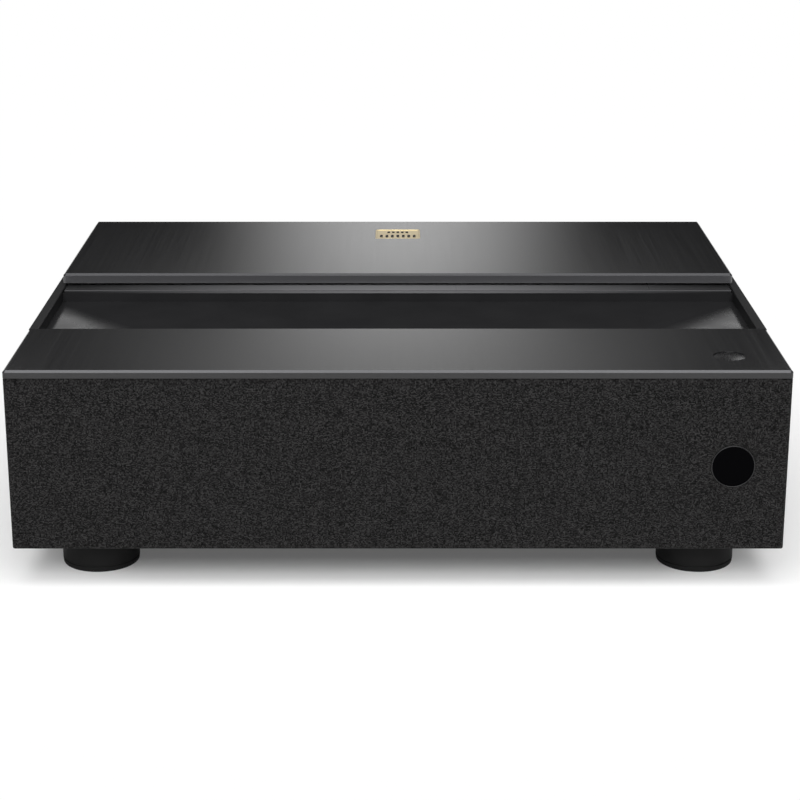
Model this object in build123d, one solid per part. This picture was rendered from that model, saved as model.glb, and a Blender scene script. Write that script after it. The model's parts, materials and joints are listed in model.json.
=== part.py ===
"""Ultra-short-throw home projector with a motor-driven sliding cover.

X runs to the right, Y to the back and Z up, in millimetres. The origin is on the
floor, under the middle of the case. The cloth front faces -Y and the light leaves
upwards and backwards, through the recess behind the front top plate. The sliding
cover rests fully open here: a rack and pinion on each side draws it forward.
"""
from build123d import *
import math
import os

os.makedirs("parts", exist_ok=True)

# ------------------------------------------------------------------ case
WIDTH = 500.0
DEPTH = 396.0
HEIGHT = 157.0
FLOOR_GAP = 27.2          # from the floor to the underside of the case
CORNER_RADIUS = 2.0       # upright corners of the case
PANEL_WALL = 2.5          # side and rear panels, bottom of the chassis
FIT = 0.1                 # between fixed pieces that slip together
SLIVER = 0.05             # between a fixed inlay and its pocket
BEND_WALL = 1.5           # upturned rim of the chassis
RIM_HEIGHT = 12.0

# ------------------------------------------------------------------ top
COVER_DEPTH = 177.8
COVER_THICKNESS = 7.1
COVER_SIDE_MARGIN = 4.85  # from the side of the case to the side of the cover
COVER_GAP = 1.9           # from the top plates to the underside of the cover
COVER_WALL = 1.6
COVER_BEVEL = 1.5
COVER_OVERLAP = 3.4       # closed cover over the front top plate
PLATE_THICKNESS = 2.0
PLATE_LIP = 5.2           # height of the turned-down rim of the top plates
PLATE_BEVEL = 1.4
PLATE_EDGE_BREAK = 0.5
FRONT_PLATE_DEPTH = 99.6
RECESS_LENGTH = 104.3
RAIL_WIDTH = 6.5
DECK_SIDE_GAP = 1.3
FRAME_BEAM = 8.0          # width of the beams of the top frame
FRAME_BEAM_DEPTH = 7.0    # height of the beams below the plates
RAIL_DROP = 12.0          # how far the side rails reach below the plates

# ------------------------------------------------------------------ recess
RECESS_DEPTH = 8.4        # from the top plates down to the floor of the recess
TRAY_WALL = 2.0
WINDOW_WIDTH = 260.0
WINDOW_DEPTH = 26.0
WINDOW_THICKNESS = 1.8
WINDOW_LEDGE = 2.5
WINDOW_FRONT_GAP = 2.5    # from the front wall of the tray to the glass
SENSOR_WIDTH = 16.0
SENSOR_HEIGHT = 4.0
SENSOR_THICKNESS = 1.0
SENSOR_SPACING = 150.0

# ------------------------------------------------------------------ front
CLOTH_SETBACK = 0.4       # cloth face behind the lip of the top plate
CLOTH_THICKNESS = 0.6
GRILLE_DEPTH = 4.1        # from the cloth face to the back of its frame
BAFFLE_FIT = 0.05
SPEAKER_SIDE_INSET = 85.0
SPEAKER_Z = 90.0
SPEAKER_HOLE_RADIUS = 33.0
BADGE_SIDE_INSET = 35.2
BADGE_Z = 83.9
BADGE_RADIUS = 14.0
BADGE_EDGE = 0.3

# ------------------------------------------------------------------ plaque
PLAQUE_WIDTH = 35.2
PLAQUE_DEPTH = 32.2
PLAQUE_THICKNESS = 0.6
PLAQUE_BACK_GAP = 30.8
PLAQUE_CORNER = 1.5

# ------------------------------------------------------------------ feet
FOOT_SIDE_INSET = 49.8
FOOT_FRONT_INSET = 52.2   # from the front of the case to the foot axis
FOOT_RADIUS = 25.7
FOOT_SOLE = 4.0
FOOT_CUP_HEIGHT = 19.0
FOOT_TRAVEL = 10.0
FOOT_BOSS_RADIUS = 14.0
FOOT_BOSS_HEIGHT = 22.0
STUD_RADIUS = 5.0
STUD_CLEARANCE = 0.1
STUD_TOP = 21.0           # stud above the underside of the case
THUMB_RADIUS = 21.0
THUMB_TOP_GAP = 1.0       # from the thumb wheel to the case, foot drawn in
THUMB_LOBES = 12
THUMB_LOBE_RADIUS = 3.0
SWIVEL_RADIUS = 8.0       # pocket of the cup that the stud turns in
SWIVEL_DEPTH = 9.0

# ------------------------------------------------------------------ button
BUTTON_SIDE_INSET = 35.5
BUTTON_FRONT_INSET = 33.7
BUTTON_RADIUS = 10.4
BUTTON_CLEARANCE = 0.15
BUTTON_TRAVEL = 0.8
BUTTON_HEIGHT = 5.0
BUTTON_DISH = 1.0
BUTTON_STEM_RADIUS = 3.0
BUTTON_STEM = 3.0
BUTTON_FLANGE = 1.2       # how far the flange of the cap reaches under the plate
SWITCH_GAP = 0.1          # stem to switch at the end of the travel
SWITCH_SIZE = 6.0
SWITCH_HEIGHT = 3.5
BOARD_THICKNESS = 1.6

# ------------------------------------------------------------------ cover drive
MODULE = 1.5              # rack and pinions
PINION_TEETH = 14
PRESSURE_ANGLE = 20.0
BACKLASH = 0.4
ROOT_CLEARANCE = 0.25     # part of the module
DRIVE_SIDE_INSET = 25.0   # guide rods and arms of the carriages
ARM_WIDTH = 5.0
ARM_LENGTH = 40.0
ARM_BACK_GAP = 8.0        # from the back of the cover to the arm
SLOT_CLEARANCE = 1.0
SLOT_END_CLEARANCE = 2.0
ROD_RADIUS = 3.0
ROD_CLEARANCE = 0.1
ROD_DROP = 19.0           # from the top plates down to the rods
CARRIAGE_WIDTH = 11.0
CARRIAGE_HEIGHT = 10.0
CARRIAGE_FRONT_GAP = 37.8  # from the front of the cover to the carriage
CARRIAGE_BACK_GAP = 8.0
SHOE_LENGTH = 12.0
SHOE_RELIEF = 1.2
ARM_FLANGE_WIDTH = 24.0
ARM_FLANGE_THICKNESS = 2.0
RACK_WIDTH = 6.5
RACK_BACK = 5.0           # solid back of the rack above its roots
PINION_WIDTH = 5.0
PINION_BACK_GAP = 135.0   # from the back of the case to the shaft axis
SHAFT_RADIUS = 2.5
SHAFT_CLEARANCE = 0.05
GEAR_MODULE = 1.0
DRIVE_GEAR_TEETH = 30
MOTOR_GEAR_TEETH = 12
GEAR_BACKLASH = 0.3
GEAR_WIDTH = 5.0
GEAR_SIDE_INSET = 70.0
YOKE_SHEET = 2.5
YOKE_SIDE_GAP = 40.5      # from the side of the case to the end of the yoke
YOKE_DEPTH = 30.0
EAR_DROP = 44.0           # how far the ears hang below the deck
EAR_BOSS_RADIUS = 8.0
EAR_BOSS_LENGTH = 3.0
MOTOR_RADIUS = 12.0
MOTOR_LENGTH = 46.0
MOTOR_SHAFT_RADIUS = 1.5
BRACKET_LENGTH = 6.0
BRACKET_GAP = 0.5         # from the carriage at rest to the rear bracket
SWITCH_BODY = (12.8, 5.8, 6.5)

# ------------------------------------------------------------------ optics
AXIS_Z = 78.0             # optical axis above the floor
ENGINE_HALF_WIDTH = 70.0
ENGINE_FRONT_INSET = 178.0
ENGINE_LENGTH = 120.0
ENGINE_BOTTOM = 44.0
ENGINE_TOP = 100.0
LID_RIB_INSET = 10.0       # from the sides of the light engine to the ribs on its lid
LID_RIB_PITCH = 18.0
HOOD_LENGTH = 8.0
LASER_RIB_WIDTH = 30.0
PORT_SIDE_INSET = 20.0     # from the side panel to the cut for the sockets
BARREL_RADIUS = 24.0
BARREL_LENGTH = 58.0
BARREL_FLANGE = 6.0
LENS_RADIUS = 20.0
RING_TEETH = 60
FOCUS_GEAR_TEETH = 12
RING_WIDTH = 10.0
RING_GAP = 20.0           # from the engine to the focus ring
FOCUS_MOTOR_RADIUS = 8.0
MIRROR_RADIUS = 105.0
MIRROR_THICKNESS = 6.0
MIRROR_WIDTH = 150.0
MIRROR_HEIGHT = 62.0
MIRROR_TILT = 28.0
MIRROR_FRONT_INSET = 66.0
MIRROR_Z = 92.0
CHEEK_THICKNESS = 4.0
WHEEL_RADIUS = 25.0
WHEEL_THICKNESS = 1.0
WHEEL_AXIS_DROP = 19.0
WHEEL_GAP = 16.0          # from the engine to the wheel
PIN_RADIUS = 1.5
PIN_CLEARANCE = 0.1
LASER_LENGTH = 40.0
LASER_DEPTH = 60.0
SINK_FAN_GAP = 14.0       # from the laser heat sink to the fan beside it
SINK_FINS = 13
FIN_THICKNESS = 1.2
DMD_SINK_DEPTH = 16.0

# ------------------------------------------------------------------ air and power
FAN_SIZE = 80.0
FAN_THICKNESS = 25.0
FAN_RIM = 2.0
FAN_TIP_GAP = 1.0
FAN_HUB_RADIUS = 16.0
FAN_BLADES = 7
FAN_PITCH = 38.0          # angle of the blades, degrees
FAN_BACK_INSET = 138.0
FAN_SIDE_GAP = 2.5
FAN_BOTTOM = 33.0
STRUT_OVERLAP = 1.0        # how far a strut runs into the fan's hub
SIDE_SLOT_WIDTH = 3.0
SIDE_SLOT_HEIGHT = 70.0
SIDE_SLOT_PITCH = 7.5
SIDE_SLOTS = 24
SIDE_SLOT_BOTTOM = 48.0
BOARD_Z = 38.0
MAIN_BOARD_RIGHT = 107.0
BOARD_BOSS_GAP = 3.2      # from the main board to the boss of a foot
MAIN_BOARD_DEPTH = 62.0
SUPPLY_WIDTH = 88.0
SUPPLY_LENGTH = 120.0
SUPPLY_SIDE_INSET = 90.0
SOCKET_Z = BOARD_Z + BOARD_THICKNESS
SPEAKER_HALF_WIDTH = 60.0
SPEAKER_DEPTH = 78.0
SPEAKER_BOTTOM = 52.0
SPEAKER_TOP = 128.0
CONE_RADIUS = 29.0
CEILING_SPACING_X = 300.0
CEILING_SPACING_Y = 200.0
CEILING_HOLE_RADIUS = 2.5  # tapped M6
CEILING_BOSS_RADIUS = 7.0
CEILING_BOSS_HEIGHT = 12.0
POST_RADIUS = 3.0

# ------------------------------------------------------------------ small pieces
FLOOR_VENT_PITCH = 9.0
FLOOR_VENT_WIDTH = 3.5
FLOOR_VENT_LENGTH = 60.0
FLOOR_VENT_OFFSET = 57.0  # from the mirror to the middle of the vents
PORT_WIDTH = 60.0         # bass ports of the front frame
PORT_Z = (46.0, 58.0)
CHIP_SIZE = (14.0, 12.0, 1.4)
CHIP_X = (-100.0, -70.0, -20.0, 30.0, 70.0)
CHIP_Y = 16.0             # chips from the front edge of the main board
COOLER_SIZE = 34.0        # square foot of the processor's heat sink
COOLER_X = 33.0           # from the left edge of the main board
COOLER_Y = 22.0
COOLER_FOOT = 3.0
COOLER_HEIGHT = 12.0
COOLER_FIN_PITCH = 6.0
COOLER_FIN = 1.5
DMD_BOARD_WIDTH = 96.0
DMD_SOCKET = (20.0, 3.4, 8.0)
DMD_SOCKET_X = 28.0
DMD_SINK_X = -10.0
DMD_SINK_WIDTH = 44.0
DMD_SINK_HEIGHT = 42.0
DMD_SINK_PITCH = 7.0
TRANSFORMER = (34.0, 30.0, 28.0)
COIL = (26.0, 38.0, 22.0)
CAN_RADIUS = 9.0
CAN_HEIGHT = 30.0
CAN_Y = -42.0
CAN_X = (-28.0, -6.0, 16.0)
SUPPLY_SINK = (70.0, 3.0, 26.0)
SUPPLY_SINK_Y = 36.0
BRACKET_LENGTH_Y = 30.0   # feet of the mirror bracket, along Y
BUTTON_BOARD_LENGTH = 30.0
BUTTON_BOARD_REACH = 14.0
SCREW_SIDE_INSET = 45.0   # outer screws of the deck, from the side of the case
SCREW_INNER_X = 70.0
CASE_SCREW_SIDE_INSET = 90.0
CASE_SCREW_END_INSET = 14.0
REAR_VENT_INSETS = (50.0, 120.0)
REAR_VENT_BOTTOM = 88.0
REAR_VENT_ROWS = 6

# ------------------------------------------------------------------ places
HALF_WIDTH = WIDTH / 2
FRONT_Y = -DEPTH / 2
BACK_Y = DEPTH / 2
TOP_Z = HEIGHT - COVER_THICKNESS - COVER_GAP
PLATE_UNDER = TOP_Z - PLATE_THICKNESS
SKIRT_TOP = TOP_Z - PLATE_LIP
INNER_X = HALF_WIDTH - PANEL_WALL
GRILLE_Y = FRONT_Y + CLOTH_SETBACK
GRILLE_BACK_Y = GRILLE_Y + GRILLE_DEPTH
REAR_PANEL_Y = BACK_Y - PANEL_WALL
CHASSIS_TOP = FLOOR_GAP + PANEL_WALL
PLATE_REAR_Y = FRONT_Y + FRONT_PLATE_DEPTH
RECESS_BACK_Y = PLATE_REAR_Y + RECESS_LENGTH
RECESS_FLOOR = TOP_Z - RECESS_DEPTH
TRAY_UNDER = RECESS_FLOOR - TRAY_WALL
RAIL_INNER_X = HALF_WIDTH - RAIL_WIDTH
DECK_HALF = RAIL_INNER_X - DECK_SIDE_GAP
COVER_FRONT_Y = BACK_Y - COVER_DEPTH
COVER_HALF = HALF_WIDTH - COVER_SIDE_MARGIN
COVER_UNDER = HEIGHT - COVER_THICKNESS
COVER_TRAVEL = COVER_FRONT_Y - PLATE_REAR_Y + COVER_OVERLAP
FOOT_X = HALF_WIDTH - FOOT_SIDE_INSET
FOOT_Y = FRONT_Y + FOOT_FRONT_INSET
BADGE_X = HALF_WIDTH - BADGE_SIDE_INSET
SPEAKER_X = HALF_WIDTH - SPEAKER_SIDE_INSET
BUTTON_X = HALF_WIDTH - BUTTON_SIDE_INSET
BUTTON_Y = FRONT_Y + BUTTON_FRONT_INSET
DRIVE_X = HALF_WIDTH - DRIVE_SIDE_INSET
YOKE_HALF_LENGTH = HALF_WIDTH - YOKE_SIDE_GAP
GEAR_X = HALF_WIDTH - GEAR_SIDE_INSET
ROD_Z = TOP_Z - ROD_DROP
ARM_BACK_Y = BACK_Y - ARM_BACK_GAP
ARM_FRONT_Y = ARM_BACK_Y - ARM_LENGTH
CARRIAGE_FRONT_Y = COVER_FRONT_Y + CARRIAGE_FRONT_GAP
CARRIAGE_BACK_Y = BACK_Y - CARRIAGE_BACK_GAP
CARRIAGE_UNDER = ROD_Z - CARRIAGE_HEIGHT / 2
RACK_X = DRIVE_X - CARRIAGE_WIDTH / 2 - RACK_WIDTH / 2
RACK_ROOT = CARRIAGE_UNDER
RACK_PITCH_Z = RACK_ROOT - (1 + ROOT_CLEARANCE) * MODULE
PINION_PITCH = MODULE * PINION_TEETH / 2
SHAFT_Y = BACK_Y - PINION_BACK_GAP
SHAFT_Z = RACK_PITCH_Z - PINION_PITCH
GEAR_DISTANCE = GEAR_MODULE * (DRIVE_GEAR_TEETH + MOTOR_GEAR_TEETH) / 2
MOTOR_Y = SHAFT_Y + GEAR_DISTANCE
ENGINE_FRONT_Y = FRONT_Y + ENGINE_FRONT_INSET
ENGINE_BACK_Y = ENGINE_FRONT_Y + ENGINE_LENGTH
MIRROR_Y = FRONT_Y + MIRROR_FRONT_INSET
FAN_Y = BACK_Y - FAN_BACK_INSET
FAN_BORE_RADIUS = FAN_SIZE / 2 - FAN_RIM
SUPPLY_X = HALF_WIDTH - SUPPLY_SIDE_INSET


# ------------------------------------------------------------------ shared shapes
def block(x, y, z):
    """A box from its (low, high) pairs along X, Y and Z."""
    spans = (x, y, z)
    middle = [(low + high) / 2 for low, high in spans]
    return Pos(*middle) * Box(*[high - low for low, high in spans])


def centred(middle, size):
    """A (low, high) pair of the given size about its middle."""
    return (middle - size / 2, middle + size / 2)


def rod(axis, start, end, centre, radius):
    """A cylinder along an axis, from start to end, with its centre in the other two."""
    middle = (start + end) / 2
    a, b = centre
    if axis == "X":
        return Pos(middle, a, b) * Rot(0, 90, 0) * Cylinder(radius, end - start)
    if axis == "Y":
        return Pos(a, middle, b) * Rot(90, 0, 0) * Cylinder(radius, end - start)
    return Pos(a, b, middle) * Cylinder(radius, end - start)


def outline_prism(points, bottom, top):
    """A straight-sided solid on a plan outline."""
    face = make_face(Polyline(*points, close=True))
    return Pos(0, 0, bottom) * extrude(face, amount=top - bottom, dir=(0, 0, 1))


def other_side(shape):
    """The same piece on the other side of the case."""
    return mirror(shape, about=Plane.YZ)


def group(pieces):
    """Separate solids that are kept together as one node."""
    return Compound([solid for piece in pieces for solid in piece.solids()])


def join(pieces):
    """One solid from pieces that touch."""
    whole = pieces[0]
    for piece in pieces[1:]:
        whole = whole + piece
    return whole


def gear_blank(module, teeth, width, backlash):
    """A spur gear about Z, with a tooth centred on +X and straight-flanked teeth.

    A flank runs from the root through the pitch circle to the tip, as the chords of
    the involute x = r(cos t + t sin t), y = r(sin t - t cos t) of its base circle.
    """
    pitch = module * teeth / 2
    base = pitch * math.cos(math.radians(PRESSURE_ANGLE))
    tip = pitch + module
    root = pitch - (1 + ROOT_CLEARANCE) * module
    involute = math.tan(math.radians(PRESSURE_ANGLE)) - math.radians(PRESSURE_ANGLE)
    half_tooth = math.pi / 2 / teeth - backlash / 4 / pitch + involute

    def flank_angle(radius):
        roll = math.sqrt(max((radius / base) ** 2 - 1, 0.0))
        return half_tooth - (roll - math.atan(roll))

    radii = [root, max(base, root), pitch, tip]
    points = []
    for tooth in range(teeth):
        middle = 2 * math.pi * tooth / teeth
        sides = [(r, middle - flank_angle(r)) for r in radii]
        sides += [(r, middle + flank_angle(r)) for r in reversed(radii)]
        points += [(r * math.cos(a), r * math.sin(a)) for r, a in dict.fromkeys(sides)]
    return extrude(make_face(Polyline(*points, close=True)), amount=width)


def gear_x(module, teeth, backlash, left, width, centre, turn):
    """A spur gear about an X axis; turn is the angle of a tooth from +Z, in degrees."""
    blank = gear_blank(module, teeth, width, backlash)
    upright = Rot(0, 90, 0) * Rot(0, 0, 180 + turn) * blank
    return Pos(left, *centre) * upright


def gear_y(module, teeth, backlash, front, width, centre, turn):
    """A spur gear about a Y axis; turn is the angle of a tooth from +X, in degrees."""
    blank = gear_blank(module, teeth, width, backlash)
    return Pos(centre[0], front, centre[1]) * Rot(-90, 0, 0) * Rot(0, 0, turn) * blank


def threaded_boss(x, y, height, radius, hole):
    """An upright boss on the chassis, and the hole through it and the chassis."""
    boss = rod("Z", FLOOR_GAP, FLOOR_GAP + height, (x, y), radius)
    return boss, rod("Z", FLOOR_GAP - 1, FLOOR_GAP + height + 1, (x, y), hole)


# ------------------------------------------------------------------ case
def four_corners(x, y):
    return [(sx * x, sy * y) for sx in (-1, 1) for sy in (-1, 1)]


def board_posts(x_pair, y_pair):
    """Posts that hold a circuit board above the chassis, one near each corner."""
    inset = 2 * POST_RADIUS
    return [
        rod("Z", CHASSIS_TOP - SLIVER, BOARD_Z, (x, y), POST_RADIUS)
        for x in (x_pair[0] + inset, x_pair[1] - inset)
        for y in (y_pair[0] + inset, y_pair[1] - inset)
    ]


MAIN_BOARD_SPAN = (
    (FOOT_BOSS_RADIUS + BOARD_BOSS_GAP - FOOT_X, MAIN_BOARD_RIGHT),
    (REAR_PANEL_Y - FIT - MAIN_BOARD_DEPTH, REAR_PANEL_Y - FIT),
)
SUPPLY_SPAN = (centred(SUPPLY_X, SUPPLY_WIDTH), centred(0, SUPPLY_LENGTH))
SPEAKER_SPAN = (
    centred(SPEAKER_X + 6.0, 2 * SPEAKER_HALF_WIDTH),
    (GRILLE_BACK_Y + 4.0, GRILLE_BACK_Y + 4.0 + SPEAKER_DEPTH),
)
FAN_X = (INNER_X - FAN_SIDE_GAP - FAN_THICKNESS, INNER_X - FAN_SIDE_GAP)
LASER_X = (-ENGINE_HALF_WIDTH - LASER_LENGTH - LASER_LENGTH, -ENGINE_HALF_WIDTH - LASER_LENGTH)
SINK_LENGTH = LASER_X[0] + FAN_X[0] - SINK_FAN_GAP
LASER_Y = centred((ENGINE_FRONT_Y + ENGINE_BACK_Y) / 2 + 15.0, LASER_DEPTH)


def bottom_chassis():
    """Moulded tray with an upturned rim, foot bosses, ceiling bosses and vents."""
    floor = block(centred(0, 2 * (INNER_X - FIT)), (GRILLE_BACK_Y, REAR_PANEL_Y),
                  (FLOOR_GAP, CHASSIS_TOP))
    rim = block(centred(0, 2 * (INNER_X - FIT)), (GRILLE_BACK_Y, REAR_PANEL_Y),
                (FLOOR_GAP, FLOOR_GAP + RIM_HEIGHT))
    rim -= block(centred(0, 2 * (INNER_X - FIT - BEND_WALL)),
                 (GRILLE_BACK_Y + BEND_WALL, REAR_PANEL_Y - BEND_WALL),
                 (CHASSIS_TOP, FLOOR_GAP + RIM_HEIGHT + 1))
    ports = block((MAIN_BOARD_SPAN[0][0], INNER_X - PORT_SIDE_INSET), (REAR_PANEL_Y - 2 * BEND_WALL, BACK_Y),
                  (BOARD_Z, FLOOR_GAP + RIM_HEIGHT + 1))
    tray = floor + rim - ports
    pads = [block(FAN_X, centred(FAN_Y, FAN_SIZE), (CHASSIS_TOP, FAN_BOTTOM))]
    pads += [other_side(pads[0])]
    legs = [rod("Z", CHASSIS_TOP, ENGINE_BOTTOM, (x, y + (ENGINE_FRONT_Y + ENGINE_BACK_Y) / 2), 6)
            for x, y in four_corners(ENGINE_HALF_WIDTH - 10, ENGINE_LENGTH / 2 - 10)]
    legs += [rod("Z", CHASSIS_TOP, SPEAKER_BOTTOM, (side * x, y), 5)
             for side in (-1, 1)
             for x in (SPEAKER_SPAN[0][0] + 8, SPEAKER_SPAN[0][1] - 8)
             for y in (SPEAKER_SPAN[1][0] + 8, SPEAKER_SPAN[1][1] - 8)]
    legs += board_posts(*MAIN_BOARD_SPAN) + board_posts(*SUPPLY_SPAN)
    tray = join([tray] + pads + legs)
    for x, y in four_corners(FOOT_X, FOOT_Y):
        boss, hole = threaded_boss(x, y, FOOT_BOSS_HEIGHT, FOOT_BOSS_RADIUS,
                                   STUD_RADIUS + STUD_CLEARANCE)
        tray = tray + boss - hole
    for x, y in four_corners(CEILING_SPACING_X / 2, CEILING_SPACING_Y / 2):
        boss, hole = threaded_boss(x, y, CEILING_BOSS_HEIGHT, CEILING_BOSS_RADIUS,
                                   CEILING_HOLE_RADIUS)
        tray = tray + boss - hole
    for x, y in four_corners(CASE_SCREW_X, CASE_SCREW_Y):
        tray += rod("Z", FLOOR_GAP, FLOOR_GAP + SCREW_LENGTH + PANEL_WALL, (x, y), SCREW_HEAD_RADIUS + 1)
    vents = [block(centred(FLOOR_VENT_PITCH * step, FLOOR_VENT_WIDTH),
                   centred(MIRROR_Y + FLOOR_VENT_OFFSET, FLOOR_VENT_LENGTH), (FLOOR_GAP - 1, CHASSIS_TOP + 1))
             for step in range(-6, 7)]
    return tray - vents - screw_holes(four_corners(CASE_SCREW_X, CASE_SCREW_Y), FLOOR_GAP, 1)


def front_grille():
    """Cloth stretched over the front and turned in at all four edges."""
    skin = block((-HALF_WIDTH, HALF_WIDTH), (GRILLE_Y, GRILLE_BACK_Y), (FLOOR_GAP, SKIRT_TOP))
    corners = skin.edges().filter_by(Axis.Z).group_by(Axis.Y)[0]
    skin = fillet(corners, CORNER_RADIUS)
    hollow = block(centred(0, 2 * (HALF_WIDTH - CLOTH_THICKNESS)),
                   (GRILLE_Y + CLOTH_THICKNESS, GRILLE_BACK_Y + 1),
                   (FLOOR_GAP + CLOTH_THICKNESS, SKIRT_TOP - CLOTH_THICKNESS))
    inner = hollow.edges().filter_by(Axis.Z).group_by(Axis.Y)[0]
    hollow = fillet(inner, CORNER_RADIUS - CLOTH_THICKNESS)
    badge = rod("Y", GRILLE_Y - 1, GRILLE_Y + 2, (BADGE_X, BADGE_Z), BADGE_RADIUS + SLIVER)
    return skin - hollow - badge


def front_baffle():
    """Moulded frame inside the cloth, open in front of both speakers."""
    inset = CLOTH_THICKNESS + BAFFLE_FIT
    panel = block(centred(0, 2 * (HALF_WIDTH - inset)), (GRILLE_Y + inset, GRILLE_BACK_Y),
                  (FLOOR_GAP + inset, SKIRT_TOP - inset))
    corners = panel.edges().filter_by(Axis.Z).group_by(Axis.Y)[0]
    panel = fillet(corners, CORNER_RADIUS)
    for side in (-1, 1):
        panel -= rod("Y", GRILLE_Y - 1, GRILLE_BACK_Y + 1, (side * SPEAKER_X, SPEAKER_Z),
                     SPEAKER_HOLE_RADIUS)
        panel -= block(centred(side * PORT_WIDTH, PORT_WIDTH), (GRILLE_Y - 1, GRILLE_BACK_Y + 1), PORT_Z)
    return panel


def badge_disc():
    """Glossy disc let into the cloth, flush with the lip of the top plate."""
    disc = rod("Y", FRONT_Y, GRILLE_Y + CLOTH_THICKNESS + BAFFLE_FIT, (BADGE_X, BADGE_Z), BADGE_RADIUS)
    face_edge = disc.edges().filter_by(GeomType.CIRCLE).group_by(Axis.Y)[0]
    return chamfer(face_edge, BADGE_EDGE)


def side_panel():
    """Right-hand side with a field of upright vents."""
    panel = block((INNER_X, HALF_WIDTH), (GRILLE_BACK_Y, BACK_Y), (FLOOR_GAP, SKIRT_TOP))
    corner = panel.edges().filter_by(Axis.Z).group_by(Axis.Y)[-1].sort_by(Axis.X)[-1]
    panel = fillet(corner, CORNER_RADIUS)
    first = FAN_Y - SIDE_SLOT_PITCH * (SIDE_SLOTS - 1) / 2
    slots = [block((INNER_X - 1, HALF_WIDTH + 1), centred(first + n * SIDE_SLOT_PITCH, SIDE_SLOT_WIDTH),
                   (SIDE_SLOT_BOTTOM, SIDE_SLOT_BOTTOM + SIDE_SLOT_HEIGHT))
             for n in range(SIDE_SLOTS)]
    return panel - slots


# Sockets: middle along X, width, height of each opening; all stand on the main board.
HDMI_X = (60.0, 36.0, 12.0)
HDMI_SHELL = (16.0, 6.6)
HDMI_DEPTH = 13.0
USB_X = (-14.0, -34.0)
USB_SHELL = (14.6, 7.4)
USB_DEPTH = 14.0
LAN_X = -60.0
LAN_SHELL = (16.4, 13.6)
LAN_DEPTH = 20.0
AUDIO_X = (-84.0, -100.0)
AUDIO_SHELL = (10.0, 9.6)
AUDIO_DEPTH = 14.0
JACK_RADIUS = 1.8
SHELL_WALL = 0.6
INLET_SIDE_INSET = 60.0
INLET_X = HALF_WIDTH - INLET_SIDE_INSET
INLET_Z = 62.0
INLET_FLANGE = (50.0, 26.0)
INLET_BODY = (28.0, 20.6)
INLET_CAVITY = (24.4, 16.0)
INLET_DEPTH = 24.0
INLET_CAVITY_DEPTH = 17.0
INLET_FLANGE_THICKNESS = 2.0
INLET_PIN_SETBACK = 4.6
VENT_LENGTH = 60.0
VENT_PITCH = 7.0


def socket_holes():
    """The cut-outs of the rear panel, one for each socket."""
    rows = [(HDMI_X, HDMI_SHELL), (USB_X, USB_SHELL), ((LAN_X,), LAN_SHELL), (AUDIO_X, AUDIO_SHELL)]
    holes = []
    for places, (width, height) in rows:
        for x in places:
            holes.append(block(centred(x, width + 2 * FIT), (REAR_PANEL_Y - 1, BACK_Y + 1),
                               (SOCKET_Z - FIT, SOCKET_Z + height + FIT)))
    holes.append(block(centred(INLET_X, INLET_BODY[0] + 2 * FIT), (REAR_PANEL_Y - 1, BACK_Y + 1),
                       centred(INLET_Z, INLET_BODY[1] + 2 * FIT)))
    return holes


def rear_panel():
    """Back of the case with its sockets, mains inlet and hot-air vents."""
    panel = block(centred(0, 2 * (INNER_X - FIT)), (REAR_PANEL_Y, BACK_Y),
                  (FLOOR_GAP, SKIRT_TOP - FIT))
    vents = [block(centred(x, VENT_LENGTH), (REAR_PANEL_Y - 1, BACK_Y + 1),
                   centred(REAR_VENT_BOTTOM + row * VENT_PITCH, SIDE_SLOT_WIDTH))
             for inset in REAR_VENT_INSETS for x in (HALF_WIDTH - inset, inset - HALF_WIDTH)
             for row in range(REAR_VENT_ROWS)]
    pocket = block(centred(INLET_X, INLET_FLANGE[0] + 2 * FIT),
                   (BACK_Y - INLET_FLANGE_THICKNESS, BACK_Y + 1),
                   centred(INLET_Z, INLET_FLANGE[1] + 2 * FIT))
    return panel - socket_holes() - vents - pocket


# ------------------------------------------------------------------ top
def top_frame():
    """Moulded ring under the top plates; its sides are the rails beside the recess."""
    beam_top = PLATE_UNDER
    beam_under = TOP_Z - FRAME_BEAM_DEPTH - PLATE_THICKNESS
    inner_face = INNER_X - FIT
    front = block(centred(0, 2 * inner_face), (GRILLE_BACK_Y, GRILLE_BACK_Y + FRAME_BEAM),
                  (beam_under, beam_top))
    rear = block(centred(0, 2 * inner_face),
                 (REAR_PANEL_Y - BEND_WALL, REAR_PANEL_Y), (beam_under, beam_top))
    rear += block(centred(0, 2 * (YOKE_HALF_LENGTH + YOKE_SHEET)),
                  (REAR_PANEL_Y - FRAME_BEAM, REAR_PANEL_Y), (beam_under, beam_top))
    middle = block(centred(0, 2 * inner_face),
                   (PLATE_REAR_Y - TRAY_WALL - FRAME_BEAM, PLATE_REAR_Y - TRAY_WALL),
                   (TRAY_UNDER, beam_top))
    ledge = block((inner_face - 2 * FRAME_BEAM, inner_face), (GRILLE_BACK_Y, PLATE_REAR_Y - TRAY_WALL),
                  (beam_under, beam_top))
    rail = block((RAIL_INNER_X, HALF_WIDTH), (PLATE_REAR_Y, BACK_Y), (SKIRT_TOP, TOP_Z))
    back_corner = rail.edges().filter_by(Axis.Z).group_by(Axis.Y)[-1].sort_by(Axis.X)[-1]
    rail = fillet(back_corner, CORNER_RADIUS)
    top_edges = rail.edges().filter_by(Axis.Y).group_by(Axis.Z)[-1]
    rail = chamfer(top_edges, PLATE_EDGE_BREAK)
    web = block((RAIL_INNER_X, inner_face), (PLATE_REAR_Y - TRAY_WALL - FRAME_BEAM, REAR_PANEL_Y),
                (TOP_Z - RAIL_DROP, SKIRT_TOP))
    side = join([ledge, web, rail] + guide_brackets())
    frame = join([side, front, middle, rear, other_side(side)])
    return frame - screw_holes(deck_screw_places(), TOP_Z, -1)


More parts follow.
